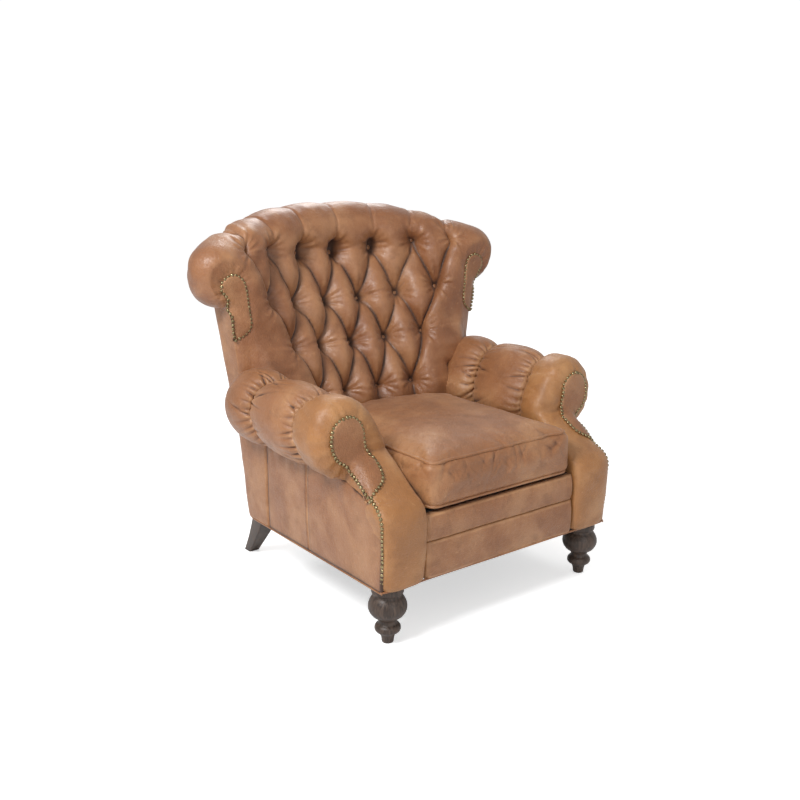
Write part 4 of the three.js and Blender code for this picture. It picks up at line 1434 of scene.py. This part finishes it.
cushion, cushion_welts = make_cushion()
settle(cushion, "seat_cushion", SEAT_TAN, ["cushion_casing", "cushion_core"])
for welt in cushion_welts:
    mark_relief(welt, 2, 0.004)
    settle(welt, "seat_cushion", SEAT_TAN)

# A welt runs round the bottom edge of the covers.
bottom = []
for side in (-1, 1):
    turn = [(BODY_HALF + 0.002, 0.004), (BODY_HALF + 0.001, 0.30), (BODY_HALF + 0.001, 0.655),
            (BODY_HALF - 0.012, 0.690), (BODY_HALF - 0.045, 0.7015), (0, 0.7025)]
    line = [(side * x, y, UNDERSIDE - 0.0005) for x, y in turn]
    bottom.append(tube("side_bottom_welt_" + ("right" if side > 0 else "left"), along(line, 160), 0.0024))
hem = [(-0.404, 0.008), (-0.392, 0.003), (-0.335, 0.001), (-0.278, 0.003), (-0.262, 0.004), (0.0, 0.003),
       (0.262, 0.004), (0.278, 0.003), (0.335, 0.001), (0.392, 0.003), (0.404, 0.008)]
bottom.append(tube("front_bottom_welt", along([(x, y, UNDERSIDE + 0.002) for x, y in hem], 260), 0.0028))
for welt in bottom:
    mark_relief(welt, 2, 0.004)
    settle(welt, "chair", TAN)

# Frame pieces that keep their own shapes.
for name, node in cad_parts.items():
    if name.startswith("seat_spring"):
        finish = STEEL
    elif name in ("seat_deck", "dust_cover", "back_webbing"):
        finish = LINING
    else:
        finish = MAPLE
    if not node.hide_render:
        node.data.materials.clear()
        node.data.materials.append(finish)


# ---------------------------------------------------------------- floor, light and camera
def lamp(name, place, aim, power, size):
    """A round soft light."""
    data = bpy.data.lights.new(name, "AREA")
    data.energy = power
    data.shape = "DISK"
    data.size = size
    obj = bpy.data.objects.new(name, data)
    obj.location = place
    obj.rotation_euler = (Vector(aim) - Vector(place)).to_track_quat("-Z", "Y").to_euler()
    bpy.context.scene.collection.objects.link(obj)


def seen_by_camera(tree, lighting, shown):
    """One strength for what the camera sees and another for what lights the chair."""
    path = tree.nodes.new("ShaderNodeLightPath")
    return remap(tree, path.outputs["Is Camera Ray"], 0, 1, lighting, shown)


def make_floor():
    half = 14.0
    corners = [(-half, -half, 0), (half, -half, 0), (half, half, 0), (-half, half, 0)]
    floor = new_mesh("studio_floor", corners, [(0, 1, 2, 3)])
    material, tree, body = shader("studio_paper")
    place = object_place(tree)
    body.inputs["Roughness"].default_value = 0.9
    shade = mix(tree, noise(tree, place, 3), (0.90, 0.90, 0.90, 1), (0.93, 0.93, 0.93, 1))
    tree.links.new(shade, body.inputs["Base Color"])
    body.inputs["Emission Color"].default_value = (1, 1, 1, 1)
    tree.links.new(seen_by_camera(tree, 0, 0.52), body.inputs["Emission Strength"])
    floor.data.materials.append(material)


make_floor()
world = bpy.data.worlds.new("studio")
bpy.context.scene.world = world
world.use_nodes = True
sky = world.node_tree.nodes["Background"]
sky.inputs["Color"].default_value = (1, 1, 1, 1)
world.node_tree.links.new(seen_by_camera(world.node_tree, 0.55, 1.05), sky.inputs["Strength"])
lamp("key", (-2.7, -0.9, 3.1), (0, 0, 0.55), 105, 1.2)
lamp("front_fill", (-0.6, -3.8, 1.6), (0, 0, 0.5), 16, 1.6)
lamp("rim", (1.6, 2.6, 2.9), (0, 0, 0.7), 34, 1.2)
bpy.context.scene.view_settings.view_transform = "Standard"
bpy.context.scene.view_settings.look = "None"

camera_data = bpy.data.cameras.new("camera")
camera_data.sensor_width = 36.0
camera_data.lens = 44.47
camera = bpy.data.objects.new("camera", camera_data)
bpy.context.scene.collection.objects.link(camera)
azimuth, elevation = math.radians(-37.3158), math.radians(14.5395)
right = Vector((math.cos(azimuth), math.sin(azimuth), 0))
behind = Vector((math.sin(azimuth) * math.cos(elevation), -math.cos(azimuth) * math.cos(elevation),
                 math.sin(elevation)))
above = behind.cross(right)
turn = Matrix((right, above, behind)).transposed().to_4x4()
camera.matrix_world = Matrix.Translation((-1.7181, -1.7958 + FRONT, 1.2322)) @ turn
bpy.context.scene.camera = camera
